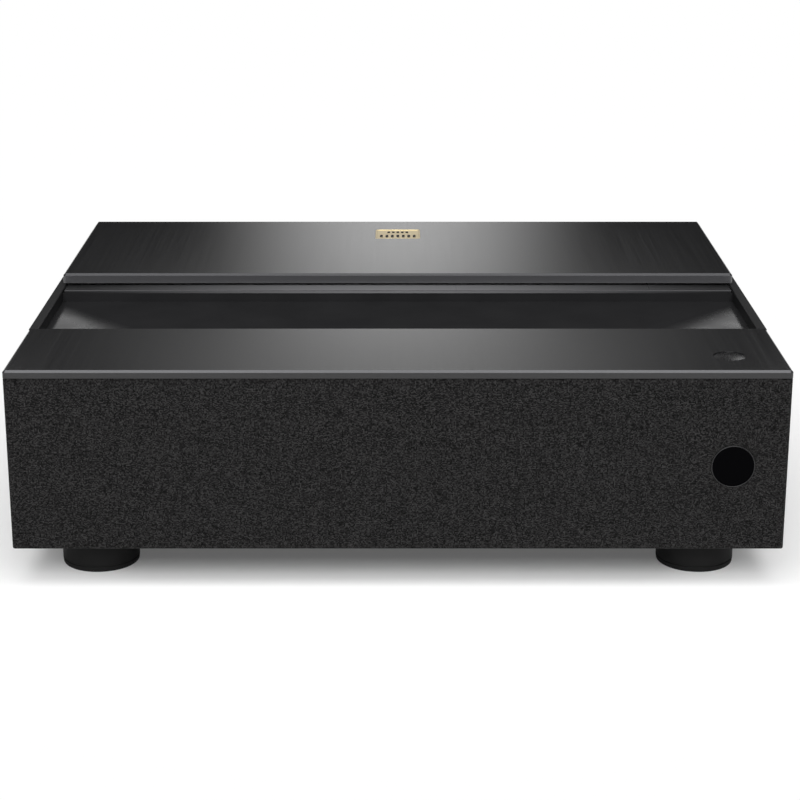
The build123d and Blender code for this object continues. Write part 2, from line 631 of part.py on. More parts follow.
def bevelled_plate(half_width, front, back):
    """Flat plate whose front and side edges are bevelled and front corners rounded."""
    plate = block((-half_width, half_width), (front, back), (SKIRT_TOP, TOP_Z))
    corners = plate.edges().filter_by(Axis.Z).group_by(Axis.Y)[0]
    plate = fillet(corners, CORNER_RADIUS)
    top = plate.faces().sort_by(Axis.Z)[-1]
    rim = [edge for edge in top.edges() if edge.center().Y < back - PLATE_BEVEL / 2]
    return chamfer(rim, PLATE_BEVEL)


def front_top_plate():
    """Brushed plate with a turned-down lip at the front and sides."""
    plate = bevelled_plate(HALF_WIDTH, FRONT_Y, PLATE_REAR_Y)
    under = block(centred(0, 2 * (HALF_WIDTH - PLATE_THICKNESS)),
                  (FRONT_Y + PLATE_THICKNESS, PLATE_REAR_Y + 1), (SKIRT_TOP - 1, PLATE_UNDER))
    hole = rod("Z", PLATE_UNDER - 1, TOP_Z + 1, (BUTTON_X, BUTTON_Y), BUTTON_RADIUS + BUTTON_CLEARANCE)
    return plate - under - hole


def arm_slot():
    """The right-hand slot of the deck, as long as the travel of the carriage arm."""
    return block(centred(DRIVE_X, ARM_WIDTH + 2 * SLOT_CLEARANCE),
                 (ARM_FRONT_Y - COVER_TRAVEL - SLOT_END_CLEARANCE, ARM_BACK_Y + SLOT_END_CLEARANCE),
                 (PLATE_UNDER - 1, TOP_Z + 1))


DECK_SCREW_X = (SCREW_SIDE_INSET - HALF_WIDTH, -SCREW_INNER_X, SCREW_INNER_X, HALF_WIDTH - SCREW_SIDE_INSET)
DECK_SCREW_INSET = 6.0
SCREW_HEAD_RADIUS = 3.0
SCREW_HEAD_HEIGHT = 1.2
SCREW_SHANK_RADIUS = 1.5
SCREW_LENGTH = 4.0
CASE_SCREW_X = HALF_WIDTH - CASE_SCREW_SIDE_INSET
CASE_SCREW_Y = BACK_Y - CASE_SCREW_END_INSET


def deck_screw_places():
    """One row into the rear beam of the top frame and one into the yoke."""
    return [(x, y) for x in DECK_SCREW_X for y in (SHAFT_Y, BACK_Y - DECK_SCREW_INSET)]


def screw(x, y, head, down):
    """Pan-head screw; head is the height of its outer face, down its pointing way."""
    a, b = sorted((head, head + down * SCREW_HEAD_HEIGHT))
    c, d = sorted((head + down * SCREW_HEAD_HEIGHT, head + down * SCREW_LENGTH))
    return rod("Z", a, b, (x, y), SCREW_HEAD_RADIUS) + rod("Z", c, d, (x, y), SCREW_SHANK_RADIUS)


def case_screws():
    """Screws of the deck and of the underside, flush in their holes."""
    deck = [screw(x, y, TOP_Z, -1) for x, y in deck_screw_places()]
    under = [screw(x, y, FLOOR_GAP, 1) for x, y in four_corners(CASE_SCREW_X, CASE_SCREW_Y)]
    return group(deck + under)


def screw_holes(places, head, down):
    """Stepped holes that the screws fill."""
    a, b = sorted((head - down, head + down * SCREW_HEAD_HEIGHT))
    c, d = sorted((head, head + down * (SCREW_LENGTH + 1)))
    heads = [rod("Z", a, b, place, SCREW_HEAD_RADIUS) for place in places]
    return heads + [rod("Z", c, d, place, SCREW_SHANK_RADIUS) for place in places]


def rear_deck_plate():
    """Brushed deck under the cover, slotted for the carriage arms."""
    deck = block((-DECK_HALF, DECK_HALF), (RECESS_BACK_Y, BACK_Y), (PLATE_UNDER, TOP_Z))
    front_edge = deck.edges().filter_by(Axis.X).group_by(Axis.Y)[0].sort_by(Axis.Z)[-1]
    deck = chamfer(front_edge, PLATE_EDGE_BREAK)
    lip = block((-DECK_HALF, DECK_HALF), (BACK_Y - PLATE_THICKNESS, BACK_Y), (SKIRT_TOP, PLATE_UNDER))
    slots = [arm_slot(), other_side(arm_slot())]
    return deck + lip - slots - screw_holes(deck_screw_places(), TOP_Z, -1)


# ------------------------------------------------------------------ recess
WINDOW_Y = (PLATE_REAR_Y + WINDOW_FRONT_GAP, PLATE_REAR_Y + WINDOW_FRONT_GAP + WINDOW_DEPTH)
SENSOR_Z = (RECESS_FLOOR + PLATE_UNDER) / 2


def sensor_places():
    return [-SENSOR_SPACING, 0.0, SENSOR_SPACING]


def light_recess_tray():
    """Tray of the light recess: flat floor and end walls, between the side rails."""
    floor = block((-RAIL_INNER_X, RAIL_INNER_X), (PLATE_REAR_Y - TRAY_WALL, RECESS_BACK_Y + TRAY_WALL),
                  (TRAY_UNDER, RECESS_FLOOR))
    front = block((-RAIL_INNER_X, RAIL_INNER_X), (PLATE_REAR_Y - TRAY_WALL, PLATE_REAR_Y),
                  (TRAY_UNDER, PLATE_UNDER))
    back = block((-RAIL_INNER_X, RAIL_INNER_X), (RECESS_BACK_Y, RECESS_BACK_Y + TRAY_WALL),
                 (TRAY_UNDER, PLATE_UNDER))
    tray = join([floor, front, back])
    pocket = block(centred(0, WINDOW_WIDTH + 2 * SLIVER), (WINDOW_Y[0] - SLIVER, WINDOW_Y[1] + SLIVER),
                   (RECESS_FLOOR - WINDOW_THICKNESS, RECESS_FLOOR + 1))
    opening = block(centred(0, WINDOW_WIDTH - 2 * WINDOW_LEDGE),
                    (WINDOW_Y[0] + WINDOW_LEDGE, WINDOW_Y[1] - WINDOW_LEDGE),
                    (TRAY_UNDER - 1, RECESS_FLOOR + 1))
    seats = [block(centred(x, SENSOR_WIDTH + 2 * SLIVER), (PLATE_REAR_Y - SENSOR_THICKNESS, PLATE_REAR_Y + 1),
                   centred(SENSOR_Z, SENSOR_HEIGHT + 2 * SLIVER)) for x in sensor_places()]
    return tray - pocket - opening - seats


def window_glass():
    return block(centred(0, WINDOW_WIDTH), WINDOW_Y, (RECESS_FLOOR - WINDOW_THICKNESS, RECESS_FLOOR - FIT))


def eye_sensor_windows():
    """Dark windows of the sensors that dim the light when someone leans over it."""
    return group([block(centred(x, SENSOR_WIDTH), (PLATE_REAR_Y - SENSOR_THICKNESS, PLATE_REAR_Y - SLIVER),
                        centred(SENSOR_Z, SENSOR_HEIGHT)) for x in sensor_places()])


# ------------------------------------------------------------------ cover
def plaque_block(clearance, bottom, top):
    y = (BACK_Y - PLAQUE_BACK_GAP - PLAQUE_DEPTH - clearance, BACK_Y - PLAQUE_BACK_GAP + clearance)
    plate = block(centred(0, PLAQUE_WIDTH + 2 * clearance), y, (bottom, top))
    return fillet(plate.edges().filter_by(Axis.Z), PLAQUE_CORNER)


def sliding_cover():
    """Folded lid, open underneath, with a bevel along all four top edges."""
    lid = block((-COVER_HALF, COVER_HALF), (COVER_FRONT_Y, BACK_Y), (COVER_UNDER, HEIGHT))
    lid = fillet(lid.edges().filter_by(Axis.Z), CORNER_RADIUS)
    lid = chamfer(lid.faces().sort_by(Axis.Z)[-1].edges(), COVER_BEVEL)
    hollow = block(centred(0, 2 * (COVER_HALF - COVER_WALL)),
                   (COVER_FRONT_Y + COVER_WALL, BACK_Y - COVER_WALL),
                   (COVER_UNDER - 1, HEIGHT - COVER_WALL))
    return lid - hollow - plaque_block(SLIVER, HEIGHT - PLAQUE_THICKNESS, HEIGHT + 1)


def cover_plaque():
    return plaque_block(0, HEIGHT - PLAQUE_THICKNESS, HEIGHT)


def rack_teeth():
    """Right-hand rack, its straight-flanked teeth pointing down, as long as its beam.

    The space centred on the shaft axis takes a pinion tooth at rest.
    """
    pitch = math.pi * MODULE
    slope = math.tan(math.radians(PRESSURE_ANGLE))
    half = pitch / 4 - BACKLASH / 4
    tip_z = RACK_PITCH_Z + 0.0 - MODULE
    at_root = half + slope * (RACK_ROOT - RACK_PITCH_Z)
    at_tip = half - slope * MODULE
    first = math.ceil((CARRIAGE_FRONT_Y + at_root - SHAFT_Y) / pitch - 0.5)
    last = math.floor((CARRIAGE_BACK_Y - at_root - SHAFT_Y) / pitch - 0.5)
    points = [(CARRIAGE_FRONT_Y, RACK_ROOT)]
    for n in range(first, last + 1):
        middle = SHAFT_Y + (n + 0.5) * pitch
        points += [(middle - at_root, RACK_ROOT), (middle - at_tip, tip_z),
                   (middle + at_tip, tip_z), (middle + at_root, RACK_ROOT)]
    points += [(CARRIAGE_BACK_Y, RACK_ROOT), (CARRIAGE_BACK_Y, RACK_ROOT + RACK_BACK),
               (CARRIAGE_FRONT_Y, RACK_ROOT + RACK_BACK)]
    face = make_face(Polyline(*[(0, y, z) for y, z in dict.fromkeys(points)], close=True))
    return Pos(RACK_X - RACK_WIDTH / 2, 0, 0) * extrude(face, amount=RACK_WIDTH, dir=(1, 0, 0))


def cover_carriage():
    """Right-hand moulded carriage: beam with two shoes, rack, arm and flange."""
    beam = block(centred(DRIVE_X, CARRIAGE_WIDTH), (CARRIAGE_FRONT_Y, CARRIAGE_BACK_Y),
                 centred(ROD_Z, CARRIAGE_HEIGHT))
    arm = block(centred(DRIVE_X, ARM_WIDTH), (ARM_FRONT_Y, ARM_BACK_Y), (ROD_Z, HEIGHT - COVER_WALL))
    flange = block(centred(DRIVE_X, ARM_FLANGE_WIDTH), (ARM_FRONT_Y, ARM_BACK_Y),
                   (HEIGHT - COVER_WALL - ARM_FLANGE_THICKNESS, HEIGHT - COVER_WALL))
    body = beam + arm + flange + rack_teeth()
    bore = rod("Y", CARRIAGE_FRONT_Y - 1, CARRIAGE_BACK_Y + 1, (DRIVE_X, ROD_Z), ROD_RADIUS + ROD_CLEARANCE)
    relief = rod("Y", CARRIAGE_FRONT_Y + SHOE_LENGTH, CARRIAGE_BACK_Y - SHOE_LENGTH, (DRIVE_X, ROD_Z),
                 ROD_RADIUS + SHOE_RELIEF)
    return body - bore - relief


# ------------------------------------------------------------------ cover drive
ROD_FRONT_Y = CARRIAGE_FRONT_Y - COVER_TRAVEL - BRACKET_LENGTH - 1.0


def guide_rods():
    right = rod("Y", ROD_FRONT_Y, REAR_PANEL_Y, (DRIVE_X, ROD_Z), ROD_RADIUS)
    return group([right, other_side(right)])


def guide_brackets():
    """Right-hand blocks under the top frame that hold both ends of the guide rod."""
    x = (DRIVE_X - CARRIAGE_WIDTH / 2, INNER_X - FIT)
    z = (ROD_Z - CARRIAGE_HEIGHT / 2, TRAY_UNDER)
    front = block(x, (ROD_FRONT_Y, ROD_FRONT_Y + BRACKET_LENGTH), z)
    rear = block(x, (CARRIAGE_BACK_Y + BRACKET_GAP, REAR_PANEL_Y), z)
    bore = rod("Y", ROD_FRONT_Y - 1, BACK_Y, (DRIVE_X, ROD_Z), ROD_RADIUS)
    return [front - bore, rear - bore]


def drive_yoke():
    """Sheet-steel yoke below the deck; its ears carry the cross shaft and the motor."""
    y = centred(SHAFT_Y, YOKE_DEPTH)
    ear_under = PLATE_UNDER - EAR_DROP
    web = block((-YOKE_HALF_LENGTH, YOKE_HALF_LENGTH), y, (PLATE_UNDER - YOKE_SHEET, PLATE_UNDER))
    ear = block((YOKE_HALF_LENGTH - YOKE_SHEET, YOKE_HALF_LENGTH), y, (ear_under, PLATE_UNDER))
    ear += rod("X", YOKE_HALF_LENGTH - EAR_BOSS_LENGTH - YOKE_SHEET, YOKE_HALF_LENGTH,
               (SHAFT_Y, SHAFT_Z), EAR_BOSS_RADIUS)
    gear_side = GEAR_X - GEAR_WIDTH / 2 - 1.0
    motor_ear = block((gear_side - YOKE_SHEET, gear_side),
                      (y[0], MOTOR_Y + MOTOR_RADIUS), (ear_under - 2.0, PLATE_UNDER))
    yoke = join([web, ear, other_side(ear), motor_ear])
    shaft = rod("X", -HALF_WIDTH, HALF_WIDTH, (SHAFT_Y, SHAFT_Z), SHAFT_RADIUS + SHAFT_CLEARANCE)
    motor = rod("X", gear_side - 2 * YOKE_SHEET, gear_side + 1, (MOTOR_Y, SHAFT_Z), 2 * MOTOR_SHAFT_RADIUS)
    return yoke - shaft - motor - screw_holes(deck_screw_places(), TOP_Z, -1)


def drive_shaft():
    reach = DRIVE_X - CARRIAGE_WIDTH / 2 - FIT
    return rod("X", -reach, reach, (SHAFT_Y, SHAFT_Z), SHAFT_RADIUS)


def drive_pinions():
    """A pinion under each rack, a tooth pointing straight up into its rack at rest."""
    left = RACK_X - PINION_WIDTH / 2
    right = gear_x(MODULE, PINION_TEETH, BACKLASH, left, PINION_WIDTH, (SHAFT_Y, SHAFT_Z), 0.0)
    right -= rod("X", left - 1, left + PINION_WIDTH + 1, (SHAFT_Y, SHAFT_Z), SHAFT_RADIUS)
    return group([right, other_side(right)])


def drive_gear():
    left = GEAR_X - GEAR_WIDTH / 2
    gear = gear_x(GEAR_MODULE, DRIVE_GEAR_TEETH, GEAR_BACKLASH, left, GEAR_WIDTH,
                  (SHAFT_Y, SHAFT_Z), -90.0)
    hub = rod("X", left, left + GEAR_WIDTH + 4.0, (SHAFT_Y, SHAFT_Z), 2 * SHAFT_RADIUS)
    return gear + hub - rod("X", left - 1, left + GEAR_WIDTH + 5.0, (SHAFT_Y, SHAFT_Z), SHAFT_RADIUS)


def motor_gear():
    """Motor pinion on its own shaft, a space facing the drive gear's tooth."""
    left = GEAR_X - GEAR_WIDTH / 2
    turn = 90.0 + 180.0 / MOTOR_GEAR_TEETH
    gear = gear_x(GEAR_MODULE, MOTOR_GEAR_TEETH, GEAR_BACKLASH, left, GEAR_WIDTH,
                  (MOTOR_Y, SHAFT_Z), turn)
    return gear + rod("X", left - YOKE_SHEET - 6.0, left + 1, (MOTOR_Y, SHAFT_Z), MOTOR_SHAFT_RADIUS)


def drive_motor():
    """Geared motor on the yoke's inner ear: gearbox, can and end cap."""
    face = GEAR_X - GEAR_WIDTH / 2 - 1.0 - YOKE_SHEET
    gearbox = rod("X", face - 18.0, face, (MOTOR_Y, SHAFT_Z), MOTOR_RADIUS)
    can = rod("X", face - MOTOR_LENGTH, face - 18.0, (MOTOR_Y, SHAFT_Z), MOTOR_RADIUS - 1.0)
    cap = rod("X", face - MOTOR_LENGTH - 2.0, face - MOTOR_LENGTH, (MOTOR_Y, SHAFT_Z), 5.0)
    bore = rod("X", face - 8.0, face + 1, (MOTOR_Y, SHAFT_Z), MOTOR_SHAFT_RADIUS + PIN_CLEARANCE)
    return join([gearbox, can, cap]) - bore


def limit_switches():
    """Micro switches beside the right carriage, one for each end of the travel."""
    length, width, height = SWITCH_BODY
    x = (DRIVE_X + CARRIAGE_WIDTH / 2 + 2.0, DRIVE_X + CARRIAGE_WIDTH / 2 + 2.0 + width)
    open_end = block(x, (CARRIAGE_BACK_Y + BRACKET_GAP - length, CARRIAGE_BACK_Y + BRACKET_GAP),
                     centred(ROD_Z, height))
    closed_y = CARRIAGE_FRONT_Y - COVER_TRAVEL
    closed_end = block(x, (closed_y, closed_y + length), (TRAY_UNDER - height, TRAY_UNDER))
    return group([open_end, closed_end])


# ------------------------------------------------------------------ optics
ENGINE_MIDDLE_Y = (ENGINE_FRONT_Y + ENGINE_BACK_Y) / 2
WHEEL_X = -ENGINE_HALF_WIDTH - WHEEL_GAP
WHEEL_Y = (LASER_Y[0] + LASER_Y[1]) / 2
WHEEL_Z = AXIS_Z - WHEEL_AXIS_DROP


def optical_base():
    """Cast housing of the light engine with its ribbed lid, wheel bearing and inlet."""
    box = block(centred(0, 2 * ENGINE_HALF_WIDTH), (ENGINE_FRONT_Y, ENGINE_BACK_Y),
                (ENGINE_BOTTOM, ENGINE_TOP - 3.0))
    box = chamfer(box.edges().filter_by(Axis.Z), 8.0)
    ribs = [block(centred(0, 2 * (ENGINE_HALF_WIDTH - LID_RIB_INSET)),
                  centred(ENGINE_MIDDLE_Y + LID_RIB_PITCH * n, 3.0), (ENGINE_TOP - 3.0, ENGINE_TOP))
            for n in range(-2, 3)]
    bearing = rod("X", WHEEL_X + 3.0, -ENGINE_HALF_WIDTH + 1, (WHEEL_Y, WHEEL_Z), 9.0)
    inlet = rod("X", WHEEL_X + 3.0, -ENGINE_HALF_WIDTH + 1, (WHEEL_Y, AXIS_Z), 8.0)
    bore = rod("X", WHEEL_X, -ENGINE_HALF_WIDTH - 2.0, (WHEEL_Y, WHEEL_Z), PIN_RADIUS + PIN_CLEARANCE)
    return join([box] + ribs + [bearing, inlet]) - bore


def lens_barrel():
    """Projection lens barrel with its mounting flange and front hood."""
    front = ENGINE_FRONT_Y - BARREL_LENGTH
    barrel = rod("Y", front, ENGINE_FRONT_Y, (0, AXIS_Z), BARREL_RADIUS)
    flange = rod("Y", ENGINE_FRONT_Y - BARREL_FLANGE, ENGINE_FRONT_Y, (0, AXIS_Z), BARREL_RADIUS + 3.0)
    hood = Cone(BARREL_RADIUS, LENS_RADIUS, HOOD_LENGTH)
    hood = Pos(0, front + HOOD_LENGTH / 2, AXIS_Z) * Rot(90, 0, 0) * hood
    seat = rod("Y", front - 8.0, front + 6.0, (0, AXIS_Z), LENS_RADIUS - 1.5)
    clear = BARREL_RADIUS + 1.0
    barrel -= block((-clear, clear), (front - 1, front + HOOD_LENGTH), (AXIS_Z - clear, AXIS_Z + clear))
    return join([barrel, flange, hood]) - seat


def front_lens():
    """Plano-convex front element, bulging out of its seat."""
    front = ENGINE_FRONT_Y - BARREL_LENGTH
    rim = LENS_RADIUS - 1.5
    sag = 3.0
    radius = (rim ** 2 + sag ** 2) / 2 / sag
    ball = Pos(0, front + 3.0 - sag + radius, AXIS_Z) * Sphere(radius)
    return rod("Y", front - 3.0, front + 6.0, (0, AXIS_Z), rim) & ball


RING_Y = ENGINE_FRONT_Y - RING_GAP - RING_WIDTH
FOCUS_X = GEAR_MODULE * (RING_TEETH + FOCUS_GEAR_TEETH) / 2


def focus_ring():
    """Geared ring that turns on the barrel."""
    ring = gear_y(GEAR_MODULE, RING_TEETH, GEAR_BACKLASH, RING_Y, RING_WIDTH, (0, AXIS_Z), 0.0)
    return ring - rod("Y", RING_Y - 1, RING_Y + RING_WIDTH + 1, (0, AXIS_Z), BARREL_RADIUS + PIN_CLEARANCE)


def focus_gear():
    """Focus pinion and its shaft, a space facing the ring's tooth."""
    turn = 180.0 + 180.0 / FOCUS_GEAR_TEETH
    gear = gear_y(GEAR_MODULE, FOCUS_GEAR_TEETH, GEAR_BACKLASH, RING_Y, RING_WIDTH,
                  (FOCUS_X, AXIS_Z), turn)
    return gear + rod("Y", RING_Y + RING_WIDTH - 1, ENGINE_FRONT_Y - 10.0, (FOCUS_X, AXIS_Z), PIN_RADIUS)


def focus_motor():
    """Small stepping motor on the front face of the optical base."""
    can = rod("Y", ENGINE_FRONT_Y - RING_GAP + 2.0, ENGINE_FRONT_Y, (FOCUS_X, AXIS_Z), FOCUS_MOTOR_RADIUS)
    bore = rod("Y", ENGINE_FRONT_Y - RING_GAP, ENGINE_FRONT_Y - 8.0, (FOCUS_X, AXIS_Z),
               PIN_RADIUS + PIN_CLEARANCE)
    return can - bore


def mirror_frame():
    """Frame of the mirror: its axis tilted up from the lens towards the recess."""
    return Pos(0, MIRROR_Y, MIRROR_Z) * Rot(MIRROR_TILT, 0, 0)


def aspheric_mirror():
    """Concave dish cut from a thick block, its hollow facing the lens and the recess."""
    blank = Box(MIRROR_WIDTH, 3 * MIRROR_THICKNESS, MIRROR_HEIGHT)
    dish = Pos(0, MIRROR_RADIUS - MIRROR_THICKNESS / 2, 0) * Sphere(MIRROR_RADIUS)
    return mirror_frame() * (blank - dish)


def mirror_bracket():
    """Two cheeks and a foot that hold the mirror blank by its ends."""
    inner = MIRROR_WIDTH / 2
    half_depth = 1.5 * MIRROR_THICKNESS + CHEEK_THICKNESS
    cheek = Box(CHEEK_THICKNESS, 2 * half_depth, MIRROR_HEIGHT + 8.0)
    cheek = mirror_frame() * Pos(inner + CHEEK_THICKNESS / 2, 0, 0) * cheek
    y = centred(MIRROR_Y, BRACKET_LENGTH_Y)
    leg = block((inner, inner + CHEEK_THICKNESS), y, (CHASSIS_TOP, MIRROR_Z))
    foot = block((-inner - CHEEK_THICKNESS, inner + CHEEK_THICKNESS), y,
                 (CHASSIS_TOP, CHASSIS_TOP + CHEEK_THICKNESS))
    right = cheek + leg
    return join([right, foot, other_side(right)])


def phosphor_wheel():
    """Colour-converting wheel with its hub and pin."""
    disc = rod("X", WHEEL_X, WHEEL_X + WHEEL_THICKNESS, (WHEEL_Y, WHEEL_Z), WHEEL_RADIUS)
    hub = rod("X", WHEEL_X - 4.0, WHEEL_X + 2.0, (WHEEL_Y, WHEEL_Z), 8.0)
    pin = rod("X", WHEEL_X, -ENGINE_HALF_WIDTH - 4.0, (WHEEL_Y, WHEEL_Z), PIN_RADIUS)
    return join([disc, hub, pin])


def laser_module():
    """Laser bank with its beam tube, standing on two ribs."""
    body = block(LASER_X, LASER_Y, (ENGINE_BOTTOM + 6.0, ENGINE_TOP))
    tube = rod("X", LASER_X[1] - 1, WHEEL_X - 6.0, (WHEEL_Y, AXIS_Z), 8.0)
    tube -= rod("X", LASER_X[1] + 2, WHEEL_X, (WHEEL_Y, AXIS_Z), 5.5)
    ribs = [block(centred((LASER_X[0] + LASER_X[1]) / 2, LASER_RIB_WIDTH), centred(y, 4.0),
                  (CHASSIS_TOP, ENGINE_BOTTOM + 6.0)) for y in (LASER_Y[0] + 8.0, LASER_Y[1] - 8.0)]
    return join([body, tube] + ribs)


def laser_heat_sink():
    """Finned block beside the laser bank, with three heat pipes through the fins."""
    right = LASER_X[0]
    left = right - SINK_LENGTH
    y = (LASER_Y[0] - 12.0, LASER_Y[1] + 12.0)
    z = (ENGINE_BOTTOM, ENGINE_TOP + 2.0)
    base = block((right - 4.0, right), y, z)
    pitch = (y[1] - y[0] - FIN_THICKNESS) / (SINK_FINS - 1)
    fins = [block((left, right - 4.0), (y[0] + n * pitch, y[0] + n * pitch + FIN_THICKNESS), z)
            for n in range(SINK_FINS)]
    pipes = [rod("Y", y[0] + FIN_THICKNESS / 2, y[1] - FIN_THICKNESS / 2,
                 ((left + right) / 2 + 14.0 * n, AXIS_Z), 3.0) for n in (-1, 0, 1)]
    return join([base] + fins + pipes)


def dmd_board():
    """Driver board of the imaging chip, on the back of the optical base."""
    board = block(centred(0, DMD_BOARD_WIDTH), (ENGINE_BACK_Y, ENGINE_BACK_Y + BOARD_THICKNESS),
                  (ENGINE_BOTTOM + 2.0, ENGINE_TOP + 2.0))
    face = ENGINE_BACK_Y + BOARD_THICKNESS
    socket = block(centred(DMD_SOCKET_X, DMD_SOCKET[0]), (face, face + DMD_SOCKET[1]),
                   centred(AXIS_Z, DMD_SOCKET[2]))
    return board + socket


def dmd_heat_sink():
    y = ENGINE_BACK_Y + BOARD_THICKNESS
    z = centred(AXIS_Z, DMD_SINK_HEIGHT)
    base = block(centred(DMD_SINK_X, DMD_SINK_WIDTH), (y, y + COOLER_FOOT), z)
    fins = [block(centred(DMD_SINK_X + DMD_SINK_PITCH * n, FIN_THICKNESS),
                  (y + COOLER_FOOT, y + DMD_SINK_DEPTH), z) for n in range(-3, 4)]
    return join([base] + fins)


# ------------------------------------------------------------------ air, power and sound
def fan_frame():
    """Right-hand fan frame: square rim, four struts and the bearing of the rotor."""
    frame = block(FAN_X, centred(FAN_Y, FAN_SIZE), (FAN_BOTTOM, FAN_BOTTOM + FAN_SIZE))
    centre = (FAN_Y, FAN_BOTTOM + FAN_SIZE / 2)
    frame -= rod("X", FAN_X[0] - 1, FAN_X[1] + 1, centre, FAN_BORE_RADIUS)
    hub = rod("X", FAN_X[0], FAN_X[0] + 4.0, centre, FAN_HUB_RADIUS)
    reach = (FAN_HUB_RADIUS - STRUT_OVERLAP, FAN_SIZE / 2)
    struts = [Pos(FAN_X[0] + 1.5, *centre) * Rot(45 + 90 * n, 0, 0) * Pos(0, sum(reach) / 2, 0)
              * Box(3.0, reach[1] - reach[0], 4.0) for n in range(4)]
    bore = rod("X", FAN_X[0] + 1.0, FAN_X[1], centre, PIN_RADIUS + PIN_CLEARANCE)
    return join([frame, hub] + struts) - bore


def fan_rotor():
    """Right-hand rotor: cup, pin and pitched blades."""
    centre = (FAN_Y, FAN_BOTTOM + FAN_SIZE / 2)
    hub = rod("X", FAN_X[0] + 5.0, FAN_X[1] - 2.0, centre, FAN_HUB_RADIUS)
    pin = rod("X", FAN_X[0] + 1.5, FAN_X[0] + 6.0, centre, PIN_RADIUS)
    tip = FAN_BORE_RADIUS - FAN_TIP_GAP
    span = tip - FAN_HUB_RADIUS + 2.0
    middle_x = (FAN_X[0] + 5.0 + FAN_X[1] - 2.0) / 2
    blade = Pos(0, tip - span / 2, 0) * Rot(0, FAN_PITCH, 0) * Box(16.0, span, 1.2)
    blade = blade & rod("X", -20, 20, (0, 0), tip)
    blades = [Pos(middle_x, *centre) * Rot(360 / FAN_BLADES * n, 0, 0) * blade for n in range(FAN_BLADES)]
    return join([hub, pin] + blades)


def main_board():
    """Main circuit board with its processor heat sink, chips and cell."""
    x, y = MAIN_BOARD_SPAN
    board = block(x, y, (BOARD_Z, SOCKET_Z))
    cooler_x = x[0] + COOLER_X
    cooler_y = centred(y[0] + COOLER_Y, COOLER_SIZE)
    sink = block(centred(cooler_x, COOLER_SIZE), cooler_y, (SOCKET_Z, SOCKET_Z + COOLER_FOOT))
    fins = [block(centred(cooler_x + COOLER_FIN_PITCH * n, COOLER_FIN), cooler_y,
                  (SOCKET_Z + COOLER_FOOT, SOCKET_Z + COOLER_HEIGHT)) for n in range(-2, 3)]
    chips = [block(centred(px, CHIP_SIZE[0]), centred(y[0] + CHIP_Y, CHIP_SIZE[1]),
                   (SOCKET_Z, SOCKET_Z + CHIP_SIZE[2])) for px in CHIP_X]
    return join([board, sink] + fins + chips)


def socket_shell(x, size, depth):
    """A socket's shell on the main board, its mouth flush with the rear panel."""
    width, height = size
    shell = block(centred(x, width), (BACK_Y - depth, BACK_Y), (SOCKET_Z, SOCKET_Z + height))
    cavity = block(centred(x, width - 2 * SHELL_WALL), (BACK_Y - depth + SHELL_WALL, BACK_Y + 1),
                   (SOCKET_Z + SHELL_WALL, SOCKET_Z + height - SHELL_WALL))
    return shell, cavity


def tongued_socket(x, size, depth, tongue, setback):
    """A shell with a contact tongue (width, height) that starts inside its mouth."""
    shell, cavity = socket_shell(x, size, depth)
    width, height = tongue
    lug = block(centred(x, width), (BACK_Y - depth, BACK_Y - setback),
                centred(SOCKET_Z + size[1] / 2, height))
    return shell - cavity + lug


def hdmi_sockets():
    return group([tongued_socket(x, HDMI_SHELL, HDMI_DEPTH, (11.0, 1.6), 4.4) for x in HDMI_X])


def usb_sockets():
    return group([tongued_socket(x, USB_SHELL, USB_DEPTH, (11.0, 2.0), 4.4) for x in USB_X])


def lan_socket():
    """Network socket with the notch of its latch at the top."""
    shell, cavity = socket_shell(LAN_X, LAN_SHELL, LAN_DEPTH)
    shoulder = block(centred(LAN_X, LAN_SHELL[0]), (BACK_Y - LAN_DEPTH, BACK_Y),
                     (SOCKET_Z + 9.4, SOCKET_Z + LAN_SHELL[1]))
    notch = block(centred(LAN_X, 6.2), (BACK_Y - 11.0, BACK_Y + 1), (SOCKET_Z + 9.0, SOCKET_Z + 12.4))
    return shell - cavity + shoulder - notch


def audio_jacks():
    """Headphone jack and optical audio socket, side by side."""
    height = AUDIO_SHELL[1]
    bodies = [block(centred(x, AUDIO_SHELL[0]), (BACK_Y - AUDIO_DEPTH, BACK_Y), (SOCKET_Z, SOCKET_Z + height))
              for x in AUDIO_X]
    jack = rod("Y", BACK_Y - 12.0, BACK_Y + 1, (AUDIO_X[0], SOCKET_Z + height / 2), JACK_RADIUS)
    optical = block(centred(AUDIO_X[1], 6.0), (BACK_Y - 8.0, BACK_Y + 1), centred(SOCKET_Z + height / 2, 6.0))
    return group([bodies[0] - jack, bodies[1] - optical])


def ac_inlet():
    """Mains inlet with a flange, a chamfered cavity and three flat pins."""
    flange = block(centred(INLET_X, INLET_FLANGE[0]), (BACK_Y - INLET_FLANGE_THICKNESS, BACK_Y),
                   centred(INLET_Z, INLET_FLANGE[1]))
    body = block(centred(INLET_X, INLET_BODY[0]), (BACK_Y - INLET_DEPTH, BACK_Y),
                 centred(INLET_Z, INLET_BODY[1]))
    cavity = block(centred(INLET_X, INLET_CAVITY[0]), (BACK_Y - INLET_CAVITY_DEPTH, BACK_Y + 1),
                   centred(INLET_Z, INLET_CAVITY[1]))
    upper = cavity.edges().filter_by(Axis.Y).group_by(Axis.Z)[-1]
    cavity = chamfer(upper, 4.0)
    pins = [block(centred(INLET_X + dx, 2.0), (BACK_Y - INLET_DEPTH, BACK_Y - INLET_PIN_SETBACK),
                  centred(INLET_Z + dz, 4.0)) for dx, dz in ((-7.0, -2.0), (0.0, 2.0), (7.0, -2.0))]
    return join([flange + body - cavity] + pins)


